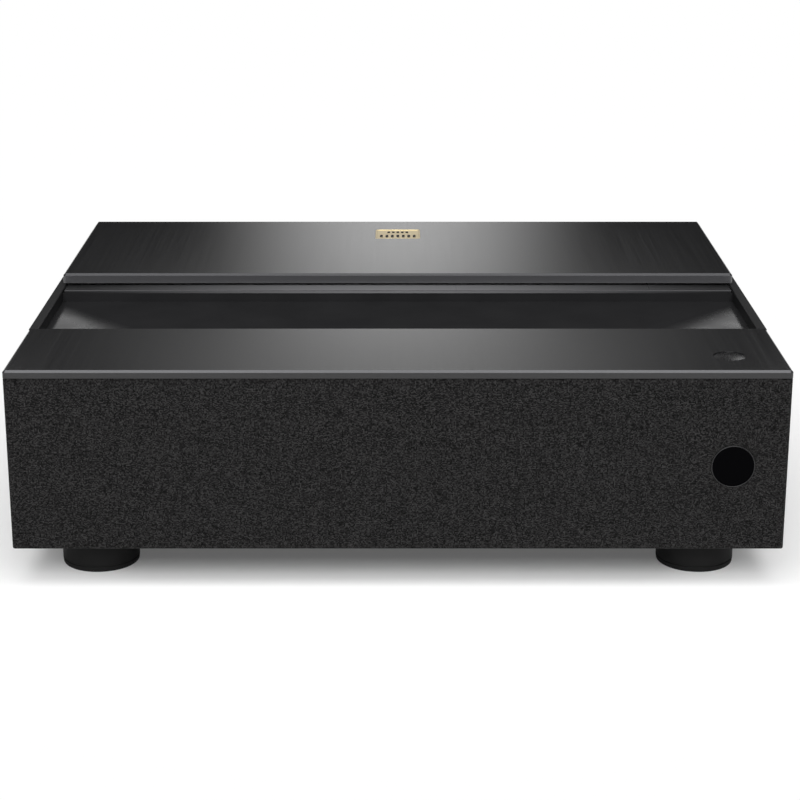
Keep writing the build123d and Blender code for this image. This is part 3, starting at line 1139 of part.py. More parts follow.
def power_supply():
    """Supply board with its transformer, heat sink, choke and capacitors."""
    x, y = SUPPLY_SPAN
    board = block(x, y, (BOARD_Z, SOCKET_Z))
    transformer, coil = [block(centred(SUPPLY_X, width), centred(0, depth), (SOCKET_Z, SOCKET_Z + height))
                         for width, depth, height in (TRANSFORMER, COIL)]
    cans = [rod("Z", SOCKET_Z, SOCKET_Z + CAN_HEIGHT, (SUPPLY_X + dx, CAN_Y), CAN_RADIUS) for dx in CAN_X]
    sink = block(centred(SUPPLY_X, SUPPLY_SINK[0]), centred(SUPPLY_SINK_Y, SUPPLY_SINK[1]),
                 (SOCKET_Z, SOCKET_Z + SUPPLY_SINK[2]))
    return join([board, transformer, coil, sink] + cans)


def speaker():
    """Right-hand speaker: enclosure, driver ring, cone and dust cap."""
    x, y = SPEAKER_SPAN
    box = block(x, y, (SPEAKER_BOTTOM, SPEAKER_TOP))
    box = chamfer(box.edges().filter_by(Axis.Y), 3.0)
    centre = (SPEAKER_X, SPEAKER_Z)
    ring = rod("Y", GRILLE_BACK_Y, y[0], centre, SPEAKER_HOLE_RADIUS + 2.0)
    cone = Pos(SPEAKER_X, y[0] + 2.0, SPEAKER_Z) * Rot(-90, 0, 0) * Cone(CONE_RADIUS, 11.0, 14.0)
    bowl = rod("Y", GRILLE_BACK_Y - 1, y[0] - 4.9, centre, CONE_RADIUS)
    cap = Pos(SPEAKER_X, y[0] + 17.0, SPEAKER_Z) * Sphere(13.0)
    cap = cap & rod("Y", y[0] - 2.0, y[0] + 12.0, centre, 11.5)
    return box + ring - cone - bowl + cap


# ------------------------------------------------------------------ feet
def foot_pad(x, y):
    """Cup and sole of an adjustable foot, with the pocket that its stud turns in."""
    cup = rod("Z", FOOT_SOLE, FOOT_CUP_HEIGHT, (x, y), FOOT_RADIUS)
    upper = cup.edges().filter_by(GeomType.CIRCLE).group_by(Axis.Z)[-1]
    cup = chamfer(upper, 1.0)
    sole = rod("Z", 0, FOOT_SOLE, (x, y), FOOT_RADIUS)
    lower = sole.edges().filter_by(GeomType.CIRCLE).group_by(Axis.Z)[0]
    sole = chamfer(lower, 0.6)
    pocket = rod("Z", FOOT_CUP_HEIGHT - SWIVEL_DEPTH, FOOT_CUP_HEIGHT + 1, (x, y),
                 SWIVEL_RADIUS + STUD_CLEARANCE)
    return cup + sole - pocket


def foot_screw(x, y):
    """Lobed thumb wheel, its stud up into the chassis and its swivel down into the cup."""
    top = FLOOR_GAP - THUMB_TOP_GAP
    bottom = FOOT_CUP_HEIGHT + THUMB_TOP_GAP
    wheel = rod("Z", bottom, top, (x, y), THUMB_RADIUS)
    grips = [rod("Z", bottom - 1, top + 1,
                 (x + (THUMB_RADIUS + 1.2) * math.cos(2 * math.pi * n / THUMB_LOBES),
                  y + (THUMB_RADIUS + 1.2) * math.sin(2 * math.pi * n / THUMB_LOBES)), THUMB_LOBE_RADIUS)
             for n in range(THUMB_LOBES)]
    stud = rod("Z", top - 1, FLOOR_GAP + STUD_TOP, (x, y), STUD_RADIUS)
    swivel = rod("Z", FOOT_CUP_HEIGHT - SWIVEL_DEPTH + 0.5, bottom + 1, (x, y), SWIVEL_RADIUS)
    return wheel - grips + stud + swivel


def rear_feet():
    """Fixed rear feet, pressed against the underside of the case."""
    feet = []
    for side in (-1, 1):
        foot = rod("Z", 0, FLOOR_GAP, (side * FOOT_X, -FOOT_Y), FOOT_RADIUS)
        rims = foot.edges().filter_by(GeomType.CIRCLE).group_by(Axis.Z)[0]
        foot = chamfer(rims, 0.6)
        spigot = rod("Z", FLOOR_GAP - 1, FLOOR_GAP + 8.0, (side * FOOT_X, -FOOT_Y), STUD_RADIUS)
        feet.append(foot + spigot)
    return group(feet)


# ------------------------------------------------------------------ power button
CAP_UNDER = TOP_Z - BUTTON_HEIGHT
STEM_UNDER = CAP_UNDER - BUTTON_STEM
BOARD_TOP = STEM_UNDER - BUTTON_TRAVEL - SWITCH_GAP - SWITCH_HEIGHT


def power_button():
    """Dished cap with a flange under the plate and a stem towards the switch."""
    cap = rod("Z", CAP_UNDER, TOP_Z, (BUTTON_X, BUTTON_Y), BUTTON_RADIUS)
    rim = cap.edges().filter_by(GeomType.CIRCLE).group_by(Axis.Z)[-1]
    cap = chamfer(rim, 0.3)
    dish_radius = ((BUTTON_RADIUS - 0.4) ** 2 + BUTTON_DISH ** 2) / 2 / BUTTON_DISH
    cap -= Pos(BUTTON_X, BUTTON_Y, TOP_Z - BUTTON_DISH + dish_radius) * Sphere(dish_radius)
    flange = rod("Z", CAP_UNDER, PLATE_UNDER - FIT, (BUTTON_X, BUTTON_Y), BUTTON_RADIUS + BUTTON_FLANGE)
    stem = rod("Z", STEM_UNDER, CAP_UNDER, (BUTTON_X, BUTTON_Y), BUTTON_STEM_RADIUS)
    return join([cap, flange, stem])


def button_dome():
    """Silicone dome that lifts the cap, hollow round the stem and the switch."""
    outer = Pos(BUTTON_X, BUTTON_Y, (BOARD_TOP + CAP_UNDER) / 2) * Cone(8.6, 7.0, CAP_UNDER - BOARD_TOP)
    inner = rod("Z", BOARD_TOP - 1, CAP_UNDER + 1, (BUTTON_X, BUTTON_Y), 5.6)
    return outer - inner


def button_board():
    """Small board with the push switch, hung from the ledge of the top frame."""
    ledge_x = (INNER_X - FIT - 2 * FRAME_BEAM, INNER_X - FIT)
    y = centred(BUTTON_Y, BUTTON_BOARD_LENGTH)
    board = block((BUTTON_X - BUTTON_BOARD_REACH, ledge_x[1]), y, (BOARD_TOP - BOARD_THICKNESS, BOARD_TOP))
    switch = block(centred(BUTTON_X, SWITCH_SIZE), centred(BUTTON_Y, SWITCH_SIZE),
                   (BOARD_TOP, BOARD_TOP + SWITCH_HEIGHT - 1.0))
    plunger = rod("Z", BOARD_TOP, BOARD_TOP + SWITCH_HEIGHT, (BUTTON_X, BUTTON_Y), 1.75)
    ledge_under = TOP_Z - FRAME_BEAM_DEPTH - PLATE_THICKNESS
    posts = [block(ledge_x, (low, low + 4.0), (BOARD_TOP, ledge_under)) for low in (y[0], y[1] - 4.0)]
    return join([board, switch, plunger] + posts)


# ------------------------------------------------------------------ nodes
NODES = {
    "bottom_chassis": bottom_chassis(),
    "front_baffle": front_baffle(),
    "front_grille": front_grille(),
    "badge_disc": badge_disc(),
    "side_panel_right": side_panel(),
    "side_panel_left": other_side(side_panel()),
    "rear_panel": rear_panel(),
    "top_frame": top_frame(),
    "front_top_plate": front_top_plate(),
    "rear_deck_plate": rear_deck_plate(),
    "light_recess_tray": light_recess_tray(),
    "window_glass": window_glass(),
    "eye_sensor_windows": eye_sensor_windows(),
    "case_screws": case_screws(),
    "guide_rods": guide_rods(),
    "drive_yoke": drive_yoke(),
    "drive_motor": drive_motor(),
    "limit_switches": limit_switches(),
    "optical_base": optical_base(),
    "lens_barrel": lens_barrel(),
    "front_lens": front_lens(),
    "focus_motor": focus_motor(),
    "aspheric_mirror": aspheric_mirror(),
    "mirror_bracket": mirror_bracket(),
    "laser_module": laser_module(),
    "laser_heat_sink": laser_heat_sink(),
    "dmd_board": dmd_board(),
    "dmd_heat_sink": dmd_heat_sink(),
    "fan_frame_right": fan_frame(),
    "fan_frame_left": other_side(fan_frame()),
    "main_board": main_board(),
    "hdmi_sockets": hdmi_sockets(),
    "usb_sockets": usb_sockets(),
    "lan_socket": lan_socket(),
    "audio_jacks": audio_jacks(),
    "ac_inlet": ac_inlet(),
    "power_supply": power_supply(),
    "speaker_right": speaker(),
    "speaker_left": other_side(speaker()),
    "rear_feet": rear_feet(),
    "button_board": button_board(),
    "button_dome": button_dome(),
    "power_button": power_button(),
    "sliding_cover": sliding_cover(),
    "cover_plaque": cover_plaque(),
    "cover_carriage_right": cover_carriage(),
    "cover_carriage_left": other_side(cover_carriage()),
    "drive_shaft": drive_shaft(),
    "drive_pinions": drive_pinions(),
    "drive_gear": drive_gear(),
    "motor_gear": motor_gear(),
    "focus_ring": focus_ring(),
    "focus_gear": focus_gear(),
    "phosphor_wheel": phosphor_wheel(),
    "fan_rotor_right": fan_rotor(),
    "fan_rotor_left": other_side(fan_rotor()),
    "foot_pad_right": foot_pad(FOOT_X, FOOT_Y),
    "foot_pad_left": foot_pad(-FOOT_X, FOOT_Y),
    "foot_screw_right": foot_screw(FOOT_X, FOOT_Y),
    "foot_screw_left": foot_screw(-FOOT_X, FOOT_Y),
}

for name, shape in NODES.items():
    export_step(shape, f"parts/{name}.step")
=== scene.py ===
# %% [markdown]
# # A home projector, dressed in Blender
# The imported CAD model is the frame: it gives the sizes, the places and the moving bodies.
# This lesson adds what the eye wants: brushed black plates, a woven cloth front, moulded
# plastic, glass, rubber and a little gold. Pieces take their places from the frame, in metres.

# %% Load the frame
import json
import math

import bmesh
import bpy
import numpy as np
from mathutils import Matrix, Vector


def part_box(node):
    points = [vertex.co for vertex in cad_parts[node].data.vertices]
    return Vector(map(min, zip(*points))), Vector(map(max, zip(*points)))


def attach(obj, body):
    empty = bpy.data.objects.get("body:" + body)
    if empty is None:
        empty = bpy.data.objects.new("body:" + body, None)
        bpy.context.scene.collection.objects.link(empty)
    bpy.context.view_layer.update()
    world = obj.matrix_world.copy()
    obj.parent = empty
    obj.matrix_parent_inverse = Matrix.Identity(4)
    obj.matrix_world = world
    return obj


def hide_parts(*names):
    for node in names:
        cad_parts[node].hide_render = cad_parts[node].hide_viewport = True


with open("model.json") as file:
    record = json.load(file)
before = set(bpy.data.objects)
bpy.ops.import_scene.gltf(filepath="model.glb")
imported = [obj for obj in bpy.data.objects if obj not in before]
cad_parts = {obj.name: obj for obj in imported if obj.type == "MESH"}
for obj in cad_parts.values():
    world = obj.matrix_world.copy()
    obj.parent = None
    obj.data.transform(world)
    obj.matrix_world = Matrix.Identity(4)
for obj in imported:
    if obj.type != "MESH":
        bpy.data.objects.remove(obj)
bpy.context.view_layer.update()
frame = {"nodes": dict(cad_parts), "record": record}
MM = 0.001

# %% [markdown]
# ## Camera
# The object is seen from the front and from above its top. A wide lens close by would make
# its near edge loom. A long lens further off is used, so that the far edge looks a quarter
# narrower than the near one and no more. The pitch is the angle below the horizon, and the
# small shift moves the frame sideways without turning the view.

# %% Camera
CAMERA_PLACE = (0.0, -1.42459, 0.51410)
CAMERA_PITCH = 17.444
LENS_MM, SENSOR_MM = 91.33, 36.0
SHIFT = 0.00275
camera_data = bpy.data.cameras.new("camera")
camera_data.lens = LENS_MM
camera_data.sensor_width = SENSOR_MM
camera_data.shift_x = SHIFT
camera = bpy.data.objects.new("camera", camera_data)
camera.location = CAMERA_PLACE
camera.rotation_euler = (math.radians(90 - CAMERA_PITCH), 0, 0)
bpy.context.collection.objects.link(camera)
bpy.context.scene.camera = camera
bpy.context.scene.view_settings.view_transform = "Standard"
print("camera at", CAMERA_PLACE, "looking", CAMERA_PITCH, "degrees down")

# %% [markdown]
# ## Colour and nodes
# Colours are picked on a screen as sRGB, but a renderer adds light in linear values. One
# function turns the hex form to linear. A node could be added in five lines each time. One
# function adds it with its settings and inputs instead, so a material reads as a short list.

# %% Helpers for materials
def colour(hex_code):
    """sRGB hex to linear RGBA: below 0.04045 a straight line, above it a power of 2.4."""
    srgb = np.array([int(hex_code[i:i + 2], 16) for i in (1, 3, 5)]) / 255
    linear = np.where(srgb <= 0.04045, srgb / 12.92, ((srgb + 0.055) / 1.055) ** 2.4)
    return (*linear.tolist(), 1.0)


def fill(tree, node, inputs):
    """Sets or links a node's inputs. A list fills them in order, a dict by name or number."""
    for where, value in inputs.items() if isinstance(inputs, dict) else enumerate(inputs):
        if isinstance(value, bpy.types.NodeSocket):
            tree.links.new(value, node.inputs[where])
        else:
            node.inputs[where].default_value = value


def add(tree, kind, inputs=(), out=0, **settings):
    """Adds one node with its settings and inputs, and gives one of its outputs."""
    node = tree.nodes.new("ShaderNode" + kind)
    for name, value in settings.items():
        setattr(node, name, value)
    fill(tree, node, inputs)
    return node.outputs[out]


def new_material(name):
    """An empty node material: (material, its tree, its Principled shader)."""
    material = bpy.data.materials.new(name)
    material.use_nodes = True
    tree = material.node_tree
    return material, tree, tree.nodes["Principled BSDF"]


print("middle grey, sRGB to linear:", [round(c, 4) for c in colour("#808080")])

# %% [markdown]
# ## Studio
# The object stands in a white room. A white world alone would light it flatly and fill the
# dark plates with its reflection. So this world answers each kind of ray in its own way. The
# camera sees plain white. Reflections see a bright wall in front and a dimmer one behind,
# and above the horizon the dark of a studio's ceiling. Other light is a weak even share.

# %% World
ROOM_LIGHT = 0.10          # even light that the white room gives to every surface
DARK_CEILING = 0.01        # what a reflection sees above the horizon
BACK_WALL = 0.25           # what it sees below the horizon, behind the object
RAY_KINDS = ("Camera", "Glossy", "Transmission")
world = bpy.data.worlds.new("white_room")
world.use_nodes = True
bpy.context.scene.world = world
room = world.node_tree
rays = {kind: add(room, "LightPath", out="Is " + kind + " Ray") for kind in RAY_KINDS}
direction = add(room, "TexCoord", out="Generated")
behind = add(room, "SeparateXYZ", [direction], "Y")
above = add(room, "SeparateXYZ", [direction], "Z")
wall = add(room, "MapRange", [behind, -0.3, 0.5, 1.0, BACK_WALL])
mirrored = add(room, "MapRange", [above, -0.02, 0.04, wall, DARK_CEILING])
is_mirrored = add(room, "Math", [rays["Glossy"], rays["Transmission"]], operation="MAXIMUM")
unseen = add(room, "Mix", {"Factor": is_mirrored, "A": ROOM_LIGHT, "B": mirrored})
strength = add(room, "Mix", {"Factor": rays["Camera"], "A": unseen, "B": 1.0})
fill(room, room.nodes["Background"], {"Color": (1, 1, 1, 1), "Strength": strength})
print("world:", world.name, "with", len(room.nodes), "nodes")

# %% [markdown]
# The floor is plain white paint. It could be a sheet that curves up behind the object. A flat
# one that fades into the room's white is simpler. It keeps the soft shadow. A little light
# of its own, for the camera and reflections only, lifts it to white: real paint has none.

# %% Floor
FLOOR_SIZE = 12.0
FLOOR_OWN_LIGHT = 0.105
PAINT_WHITE = colour("#F2F2F2")
FLOOR_FADE = (0.24, 0.46)  # metres from the middle over which paint turns to the room's white
paint, tree, shader = new_material("white_floor_paint")
rays = {kind: add(tree, "LightPath", out="Is " + kind + " Ray") for kind in RAY_KINDS}
seen = add(tree, "Math", [rays["Camera"], rays["Glossy"]], operation="MAXIMUM")
seen = add(tree, "Math", [seen, rays["Transmission"]], operation="MAXIMUM")
away = add(tree, "VectorMath", [add(tree, "TexCoord", out="Object")], "Value", operation="LENGTH")
faded = add(tree, "Math", [seen, add(tree, "MapRange", [away, *FLOOR_FADE, 0.0, 1.0])], operation="MULTIPLY")
own = add(tree, "Math", [seen, FLOOR_OWN_LIGHT], operation="MULTIPLY")
fill(tree, shader, {
    "Roughness": 0.9, "Specular IOR Level": 0.1, "Emission Color": (1, 1, 1, 1),
    "Base Color": add(tree, "Mix", {0: faded, 6: PAINT_WHITE, 7: (0, 0, 0, 1)}, 2, data_type="RGBA"),
    "Emission Strength": add(tree, "Mix", {"Factor": faded, "A": own, "B": 1.0})})
half = FLOOR_SIZE / 2
floor_mesh = bpy.data.meshes.new("floor")
corners = [(-half, -half, 0), (half, -half, 0), (half, half, 0), (-half, half, 0)]
floor_mesh.from_pydata(corners, [], [(0, 1, 2, 3)])
floor_mesh.materials.append(paint)
floor = bpy.data.objects.new("floor", floor_mesh)
bpy.context.collection.objects.link(floor)
print("floor", FLOOR_SIZE, "m wide")

# %% [markdown]
# ## Lamps
# Black brushed plates show what they mirror more than the light that falls on them. Two large
# softboxes in front and above light the cloth and the floor. Two narrow ones behind stand
# where the cover and the front plate mirror them, and fade to their ends, which gives each
# plate its bright middle. Two small ones stand where the corners of the recess mirror them.

# %% Softboxes
CORNER_PLACE, CORNER_TARGET = (0.80, 1.6, 1.02), (0.22, -0.05, 0.14)


def softbox(name, place, target, width, height, watts):
    """An area lamp of width x height metres that faces its target."""
    data = bpy.data.lights.new(name, "AREA")
    data.shape = "RECTANGLE"
    data.size, data.size_y, data.energy = width, height, watts
    lamp = bpy.data.objects.new(name, data)
    lamp.location = place
    aim = np.array(target) - np.array(place)
    flat = math.hypot(aim[0], aim[1])
    lamp.rotation_euler = (math.atan2(flat, -aim[2]), 0, math.atan2(-aim[0], aim[1]))
    lamp.visible_camera = False
    bpy.context.collection.objects.link(lamp)
    return lamp


def feather(lamp):
    """Dims a softbox to its left and right ends as (1 + cos(2 pi u)) / 2, with u = 0 at its middle."""
    lamp.data.use_nodes = True
    tree = lamp.data.node_tree
    across = add(tree, "SeparateXYZ", [add(tree, "NewGeometry", out="Parametric")], "X")
    turn = add(tree, "Math", [across, 2 * math.pi, -math.pi], operation="MULTIPLY_ADD")
    wave = add(tree, "Math", [turn], operation="COSINE")
    soft = add(tree, "Math", [wave, 0.5, 0.5], operation="MULTIPLY_ADD")
    fill(tree, tree.nodes["Emission"], {"Strength": soft})


softbox("key_softbox", (0, -2.1, 1.55), (0, -0.15, 0.1), 2.4, 1.0, 46)
softbox("top_softbox", (0, -0.85, 2.0), (0, -0.15, 0.1), 2.2, 1.3, 34)
feather(softbox("glance_low", (0, 1.6, 0.46), (0, 0.05, 0.15), 0.66, 0.24, 0.70))
feather(softbox("glance_high", (0, 1.6, 0.74), (0, -0.1, 0.15), 1.25, 0.32, 0.80))
for name, side in (("right", 1), ("left", -1)):
    place, target = ((side * x, y, z) for x, y, z in (CORNER_PLACE, CORNER_TARGET))
    softbox("corner_softbox_" + name, place, target, 0.4, 0.3, 0.95)

# %% [markdown]
# ## Brushed metal
# The top plates and the cover are aluminium sheet. An abrasive belt brushes them front to
# back, which leaves long shallow scratches: these spread a highlight across them and keep it
# short along them. A scratch could be a texture of lines. Noise that is squeezed across the
# brushing and drawn out along it is used, because it never repeats. A real scratch is about
# 0.1 mm wide, too fine to show here, so the streaks are 0.6 mm wide, and a coarser set of
# 1.4 mm stands for their bunches.

# %% Brushed metal
STREAKS_PER_METRE = (1600, 12)     # across and along the brushing
BUNCHES = 0.45                     # the coarse set has this many streaks for each fine one
BUNCH_WEIGHT = 0.5                 # share of the coarse set in tone, gloss and relief
PAINTED_HIGHLIGHT_REACH = 0.26                # metres from x = 0 over which the painted highlight fades out


def brushed(name, hex_dark, hex_light, roughness, metallic, along="y", depth_mm=0.004, edge=None,
            upright_painted_light=None, middle=None, anisotropic=0.0):
    """Brushed metal: noise drawn out 130 times along the brushing gives tone, gloss and relief.

    edge is the tone of corners that a cutter broke. The standing faces take a lighter tone,
    painted light, and middle is a painted highlight round x = 0, which fades as
    (1 + cos(pi x / reach)) / 2. The sheet itself has one finish.
    """
    material, tree, shader = new_material(name)
    across, drawn = STREAKS_PER_METRE
    fine = (drawn, across, across) if along == "x" else (across, drawn, across)
    coarse = tuple(value * BUNCHES for value in fine)
    place = add(tree, "TexCoord", out="Object")
    lean = add(tree, "SeparateXYZ", [add(tree, "TexCoord", out="Normal")], "Z")
    fine_place = add(tree, "Mapping", {"Vector": place, "Scale": fine})
    coarse_place = add(tree, "Mapping", {"Vector": place, "Scale": coarse})
    streaks = add(tree, "TexNoise", {"Vector": fine_place, "Scale": 1.0, "Detail": 3.0, "Roughness": 0.6})
    bunches = add(tree, "TexNoise", {"Vector": coarse_place, "Scale": 1.0, "Detail": 2.0})
    both = add(tree, "Mix", {"Factor": BUNCH_WEIGHT, "A": streaks, "B": bunches})
    tone = add(tree, "MapRange", [both, 0.3, 0.7, 0.0, 1.0])
    base = add(tree, "Mix", {0: tone, 6: colour(hex_dark), 7: colour(hex_light)}, 2, data_type="RGBA")
    # painted light: a lighter tone on the standing faces
    if upright_painted_light:
        standing = add(tree, "MapRange", [lean, 0.1, 0.3, 1.0, 0.0])
        base = add(tree, "Mix", {0: standing, 6: base, 7: colour(upright_painted_light)}, 2, data_type="RGBA")
    # painted highlight: a lighter middle round x = 0
    if middle:
        x = add(tree, "SeparateXYZ", [place], "X")
        turn = add(tree, "Math", [x, math.pi / PAINTED_HIGHLIGHT_REACH], operation="MULTIPLY")
        wave = add(tree, "Math", [turn], operation="COSINE")
        share = add(tree, "MapRange", [wave, -1.0, 1.0, 0.0, 1.0])
        base = add(tree, "Mix", {0: share, 6: base, 7: colour(middle)}, 2, data_type="RGBA")
    fill(tree, shader, {"Metallic": metallic, "Anisotropic": anisotropic})
    if edge:
        steep = add(tree, "MapRange", [lean, 0.25, 0.45, 0.0, 1.0])
        level = add(tree, "MapRange", [lean, 0.88, 0.96, 1.0, 0.0])
        cut = add(tree, "Math", [steep, level], operation="MULTIPLY")
        base = add(tree, "Mix", {0: cut, 6: base, 7: colour(edge)}, 2, data_type="RGBA")
        fill(tree, shader, {"Metallic": add(tree, "MapRange", [cut, 0.0, 1.0, metallic, 0.6])})
    if anisotropic:
        fill(tree, shader, {"Tangent": add(tree, "CombineXYZ", {"X": 1.0})})
    fill(tree, shader, {
        "Base Color": base,
        "Roughness": add(tree, "MapRange", [both, 0.25, 0.75, roughness - 0.04, roughness + 0.04]),
        "Specular IOR Level": add(tree, "MapRange", [both, 0.3, 0.7, 0.42, 0.58]),
        "Normal": add(tree, "Bump", {"Height": both, "Distance": depth_mm * MM, "Strength": 1.0})})
    return material


print("streaks", round(1 / STREAKS_PER_METRE[0] / MM, 2), "mm wide")

# %% [markdown]
# ## Black anodised aluminium
# Anodising grows a hard clear skin on the sheet, and the dye in it hides the metal. So these
# are dark coats with a gloss of their own, not metallic ones. The front plate's bevel is cut
# bright, the cover's broken edge is duller. The cover's and the lip's standing faces get a
# lighter tone of painted light, and the deck a painted highlight in its middle, because the
# lamps leave them too dark.
# The badge's ring is too thin to show the marks of its lathe, so it borrows this finish.

# %% Black anodised finishes
PLATE_DARK, PLATE_LIGHT = "#19191A", "#212122"
DECK_DARK, DECK_LIGHT = "#1C1C1D", "#222223"
BRIGHT_CUT, DULL_CUT = "#414143", "#2C2C2E"
# The lip's and the cover's upright tones are painted light.
plate_finish = brushed("brushed_black_anodised_aluminium", PLATE_DARK, PLATE_LIGHT, 0.19, 0.0,
                       edge=BRIGHT_CUT, upright_painted_light="#242425", anisotropic=0.3)
cover_finish = brushed("brushed_black_cover_aluminium", PLATE_DARK, PLATE_LIGHT, 0.19, 0.0,
                       edge=DULL_CUT, upright_painted_light="#464648", anisotropic=0.3)
# The deck's grey middle is a painted highlight.
deck_finish = brushed("brushed_black_deck_aluminium_painted_highlight", DECK_DARK, DECK_LIGHT, 0.3, 0.0,
                      edge=DULL_CUT, middle="#747476")
button_finish = brushed("brushed_black_button_aluminium", PLATE_DARK, PLATE_LIGHT, 0.27, 0.0)
ring_finish = brushed("turned_dark_aluminium", "#1C1C1D", "#242425", 0.3, 0.2)
print("black plate colour in linear:", [round(c, 4) for c in colour(PLATE_DARK)])

# %% [markdown]
# ## Moulded plastics
# An injection-moulded part takes the texture of its steel mould. Spark erosion leaves a fine
# orange-peel grain on the mould, about 0.3 mm across, so an ABS case looks matt and dusty.
# The grain could be modelled, but a relief in the shader is enough at this size. Slow changes
# of gloss keep a large flat panel from looking like a drawing.

# %% Moulded plastic
def moulded(name, hex_code, roughness, grain_mm=0.35, depth_mm=0.02, level=0.5, shape=None):
    """Moulded plastic: a cell-like grain in relief, with slow changes of gloss, over a shading slope."""
    material, tree, shader = new_material(name)
    place = add(tree, "TexCoord", out="Object")
    grain = add(tree, "TexNoise", {"Vector": place, "Scale": 1 / (grain_mm * MM), "Detail": 2.0})
    patches = add(tree, "TexNoise", {"Vector": place, "Scale": 30, "Detail": 3.0})
    dusty = (*np.minimum(np.array(colour(hex_code)[:3]) * 1.25 + 0.002, 1.0).tolist(), 1.0)
    tone = add(tree, "MapRange", [patches, 0.35, 0.7, 0.0, 0.5])
    relief = {"Height": grain, "Distance": depth_mm * MM, "Strength": 1.0}
    if shape:
        fall = shape(tree)
        relief["Normal"] = add(tree, "Bump", {"Height": fall, "Distance": 1.0, "Strength": 1.0})
        level = add(tree, "MapRange", [fall, -0.002, 0.0, level, 0.0])
    fill(tree, shader, {
        "Base Color": add(tree, "Mix", {0: tone, 6: colour(hex_code), 7: dusty}, 2, data_type="RGBA"),
        "Roughness": add(tree, "MapRange", [patches, 0.3, 0.7, roughness - 0.05, roughness + 0.05]),
        "Specular IOR Level": level, "Normal": add(tree, "Bump", relief)})
    return material


print("case grain", round(1 / (0.35 * MM)), "lumps to the metre")

# %% [markdown]
# The floor of the light recess is flat, yet a light patch lies in each of its front corners.
# What makes it on the real object isn't known. A sloped floor would be seen in the walls'
# depth, so the mesh stays flat and only its shading slopes there, towards the two corner
# lamps. The floor mirrors only where it slopes: elsewhere its reflection is turned off.

# %% Light patches of the recess
PATCH_CORNER, PATCH_LEAN = (0.2435, 0.002), 42.0     # metres; degrees that the patch's edge leans
PATCH_SLOPE, PATCH_BLEND = 0.22, 0.014               # slope far from the edge; metres it takes to start


def corner_fall(tree):
    """Shading height h = -slope d d / (d + 2 b), where d is the distance beyond the patch's edge.

    The edge is a line from each rear corner that leans towards the middle as it comes forward.
    """
    place = add(tree, "TexCoord", out="Object")
    aside = add(tree, "Math", [add(tree, "SeparateXYZ", [place], "X")], operation="ABSOLUTE")
    back = add(tree, "SeparateXYZ", [place], "Y")
    lean = math.radians(PATCH_LEAN)
    start = PATCH_CORNER[1] * math.sin(lean) - PATCH_CORNER[0] * math.cos(lean)
    outside = add(tree, "Math", [aside, math.cos(lean), start], operation="MULTIPLY_ADD")
    distance = add(tree, "Math", [back, -math.sin(lean), outside], operation="MULTIPLY_ADD")
    distance = add(tree, "Math", [distance, 0.0], operation="MAXIMUM")
    squared = add(tree, "Math", [distance, distance], operation="MULTIPLY")
    beyond = add(tree, "Math", [distance, 2 * PATCH_BLEND], operation="ADD")
    share = add(tree, "Math", [squared, beyond], operation="DIVIDE")
    return add(tree, "Math", [share, -PATCH_SLOPE], operation="MULTIPLY")


print("patch slopes", PATCH_SLOPE, "beyond its edge")

# %% [markdown]
# ABS is matt. Polycarbonate comes from a polished mould and is satin. Nylon and PBT are a
# little smoother than ABS, rubber is duller than all, and a circuit board is a glossy laminate.

# %% Plastics of the projector
case_abs = moulded("spark_textured_black_abs", "#161617", 0.55, level=0.4)
inner_abs = moulded("smooth_dark_abs", "#2C2C2E", 0.5, 0.6, 0.01)
tray_pc = moulded("satin_black_polycarbonate", "#242425", 0.28, 0.3, 0.001, 0.3, corner_fall)
socket_pbt = moulded("moulded_black_pbt_socket", "#1A1A1A", 0.45, 0.4, 0.008)
fan_pbt = moulded("moulded_black_pbt_fan", "#242426", 0.42, 0.6, 0.01)
foot_nylon = moulded("glass_filled_black_nylon", "#262627", 0.5, 0.4, 0.02)
carriage_nylon = moulded("moulded_black_nylon", "#303032", 0.38, 0.5, 0.005)
gear_nylon = moulded("moulded_natural_nylon", "#ECE9DF", 0.4, 0.5, 0.005)
foot_rubber = moulded("moulded_black_rubber", "#131313", 0.7, 0.5, 0.03, 0.25)
key_silicone = moulded("translucent_silicone", "#CFCFCC", 0.45, 0.8, 0.01)
laminate = moulded("green_fibreglass_laminate", "#0E4A2A", 0.4, 0.9, 0.02)
print("materials so far:", len(bpy.data.materials))

# %% [markdown]
# ## Gloss and glass
# The badge and the sensor windows are black acrylic with a polished face. Real acrylic would
# mirror the room. Here its reflection is set almost to nothing, so that it stays a deep black
# whatever stands round it. The window in the recess is smoked tempered glass with a coating
# that kills most of its reflection, which a low IOR imitates. The lens glass is coated too.

# %% Gloss and glass
gloss_acrylic, tree, shader = new_material("polished_black_acrylic")
smudges = add(tree, "TexNoise", {"Vector": add(tree, "TexCoord", out="Object"), "Scale": 160, "Detail": 3.0})
fill(tree, shader, {"Base Color": colour("#020203"), "Specular IOR Level": 0.02,
                    "Roughness": add(tree, "MapRange", [smudges, 0.35, 0.75, 0.06, 0.14])})

smoked_glass, tree, shader = new_material("coated_smoked_glass")
smudges = add(tree, "TexNoise", {"Vector": add(tree, "TexCoord", out="Object"), "Scale": 120, "Detail": 3.0})
fill(tree, shader, {"Base Color": colour("#1B1B1E"), "IOR": 1.12, "Transmission Weight": 0.6,
                    "Roughness": add(tree, "MapRange", [smudges, 0.35, 0.75, 0.10, 0.18])})

lens_glass, tree, shader = new_material("coated_optical_glass")
facing = add(tree, "LayerWeight", {"Blend": 0.3}, "Facing")
coat = add(tree, "Mix", {0: facing, 6: colour("#B9C9E8"), 7: colour("#7A5FA8")}, 2, data_type="RGBA")
fill(tree, shader, {"Base Color": coat, "IOR": 1.62, "Transmission Weight": 1.0, "Roughness": 0.02})
print("gloss and glass:", gloss_acrylic.name, smoked_glass.name, lens_glass.name)

# %% [markdown]
# ## Bare and plated metals
# Brass, ground steel, zinc-plated sheet and extruded aluminium differ in colour, in how sharp
# their reflection is and in the marks of their making. Brushed lines, grinding marks and the
# die lines of an extrusion are all long and thin, so the brushed finish serves for each. A
# casting has no lines, only a lumpy skin, and gets a finish of its own.

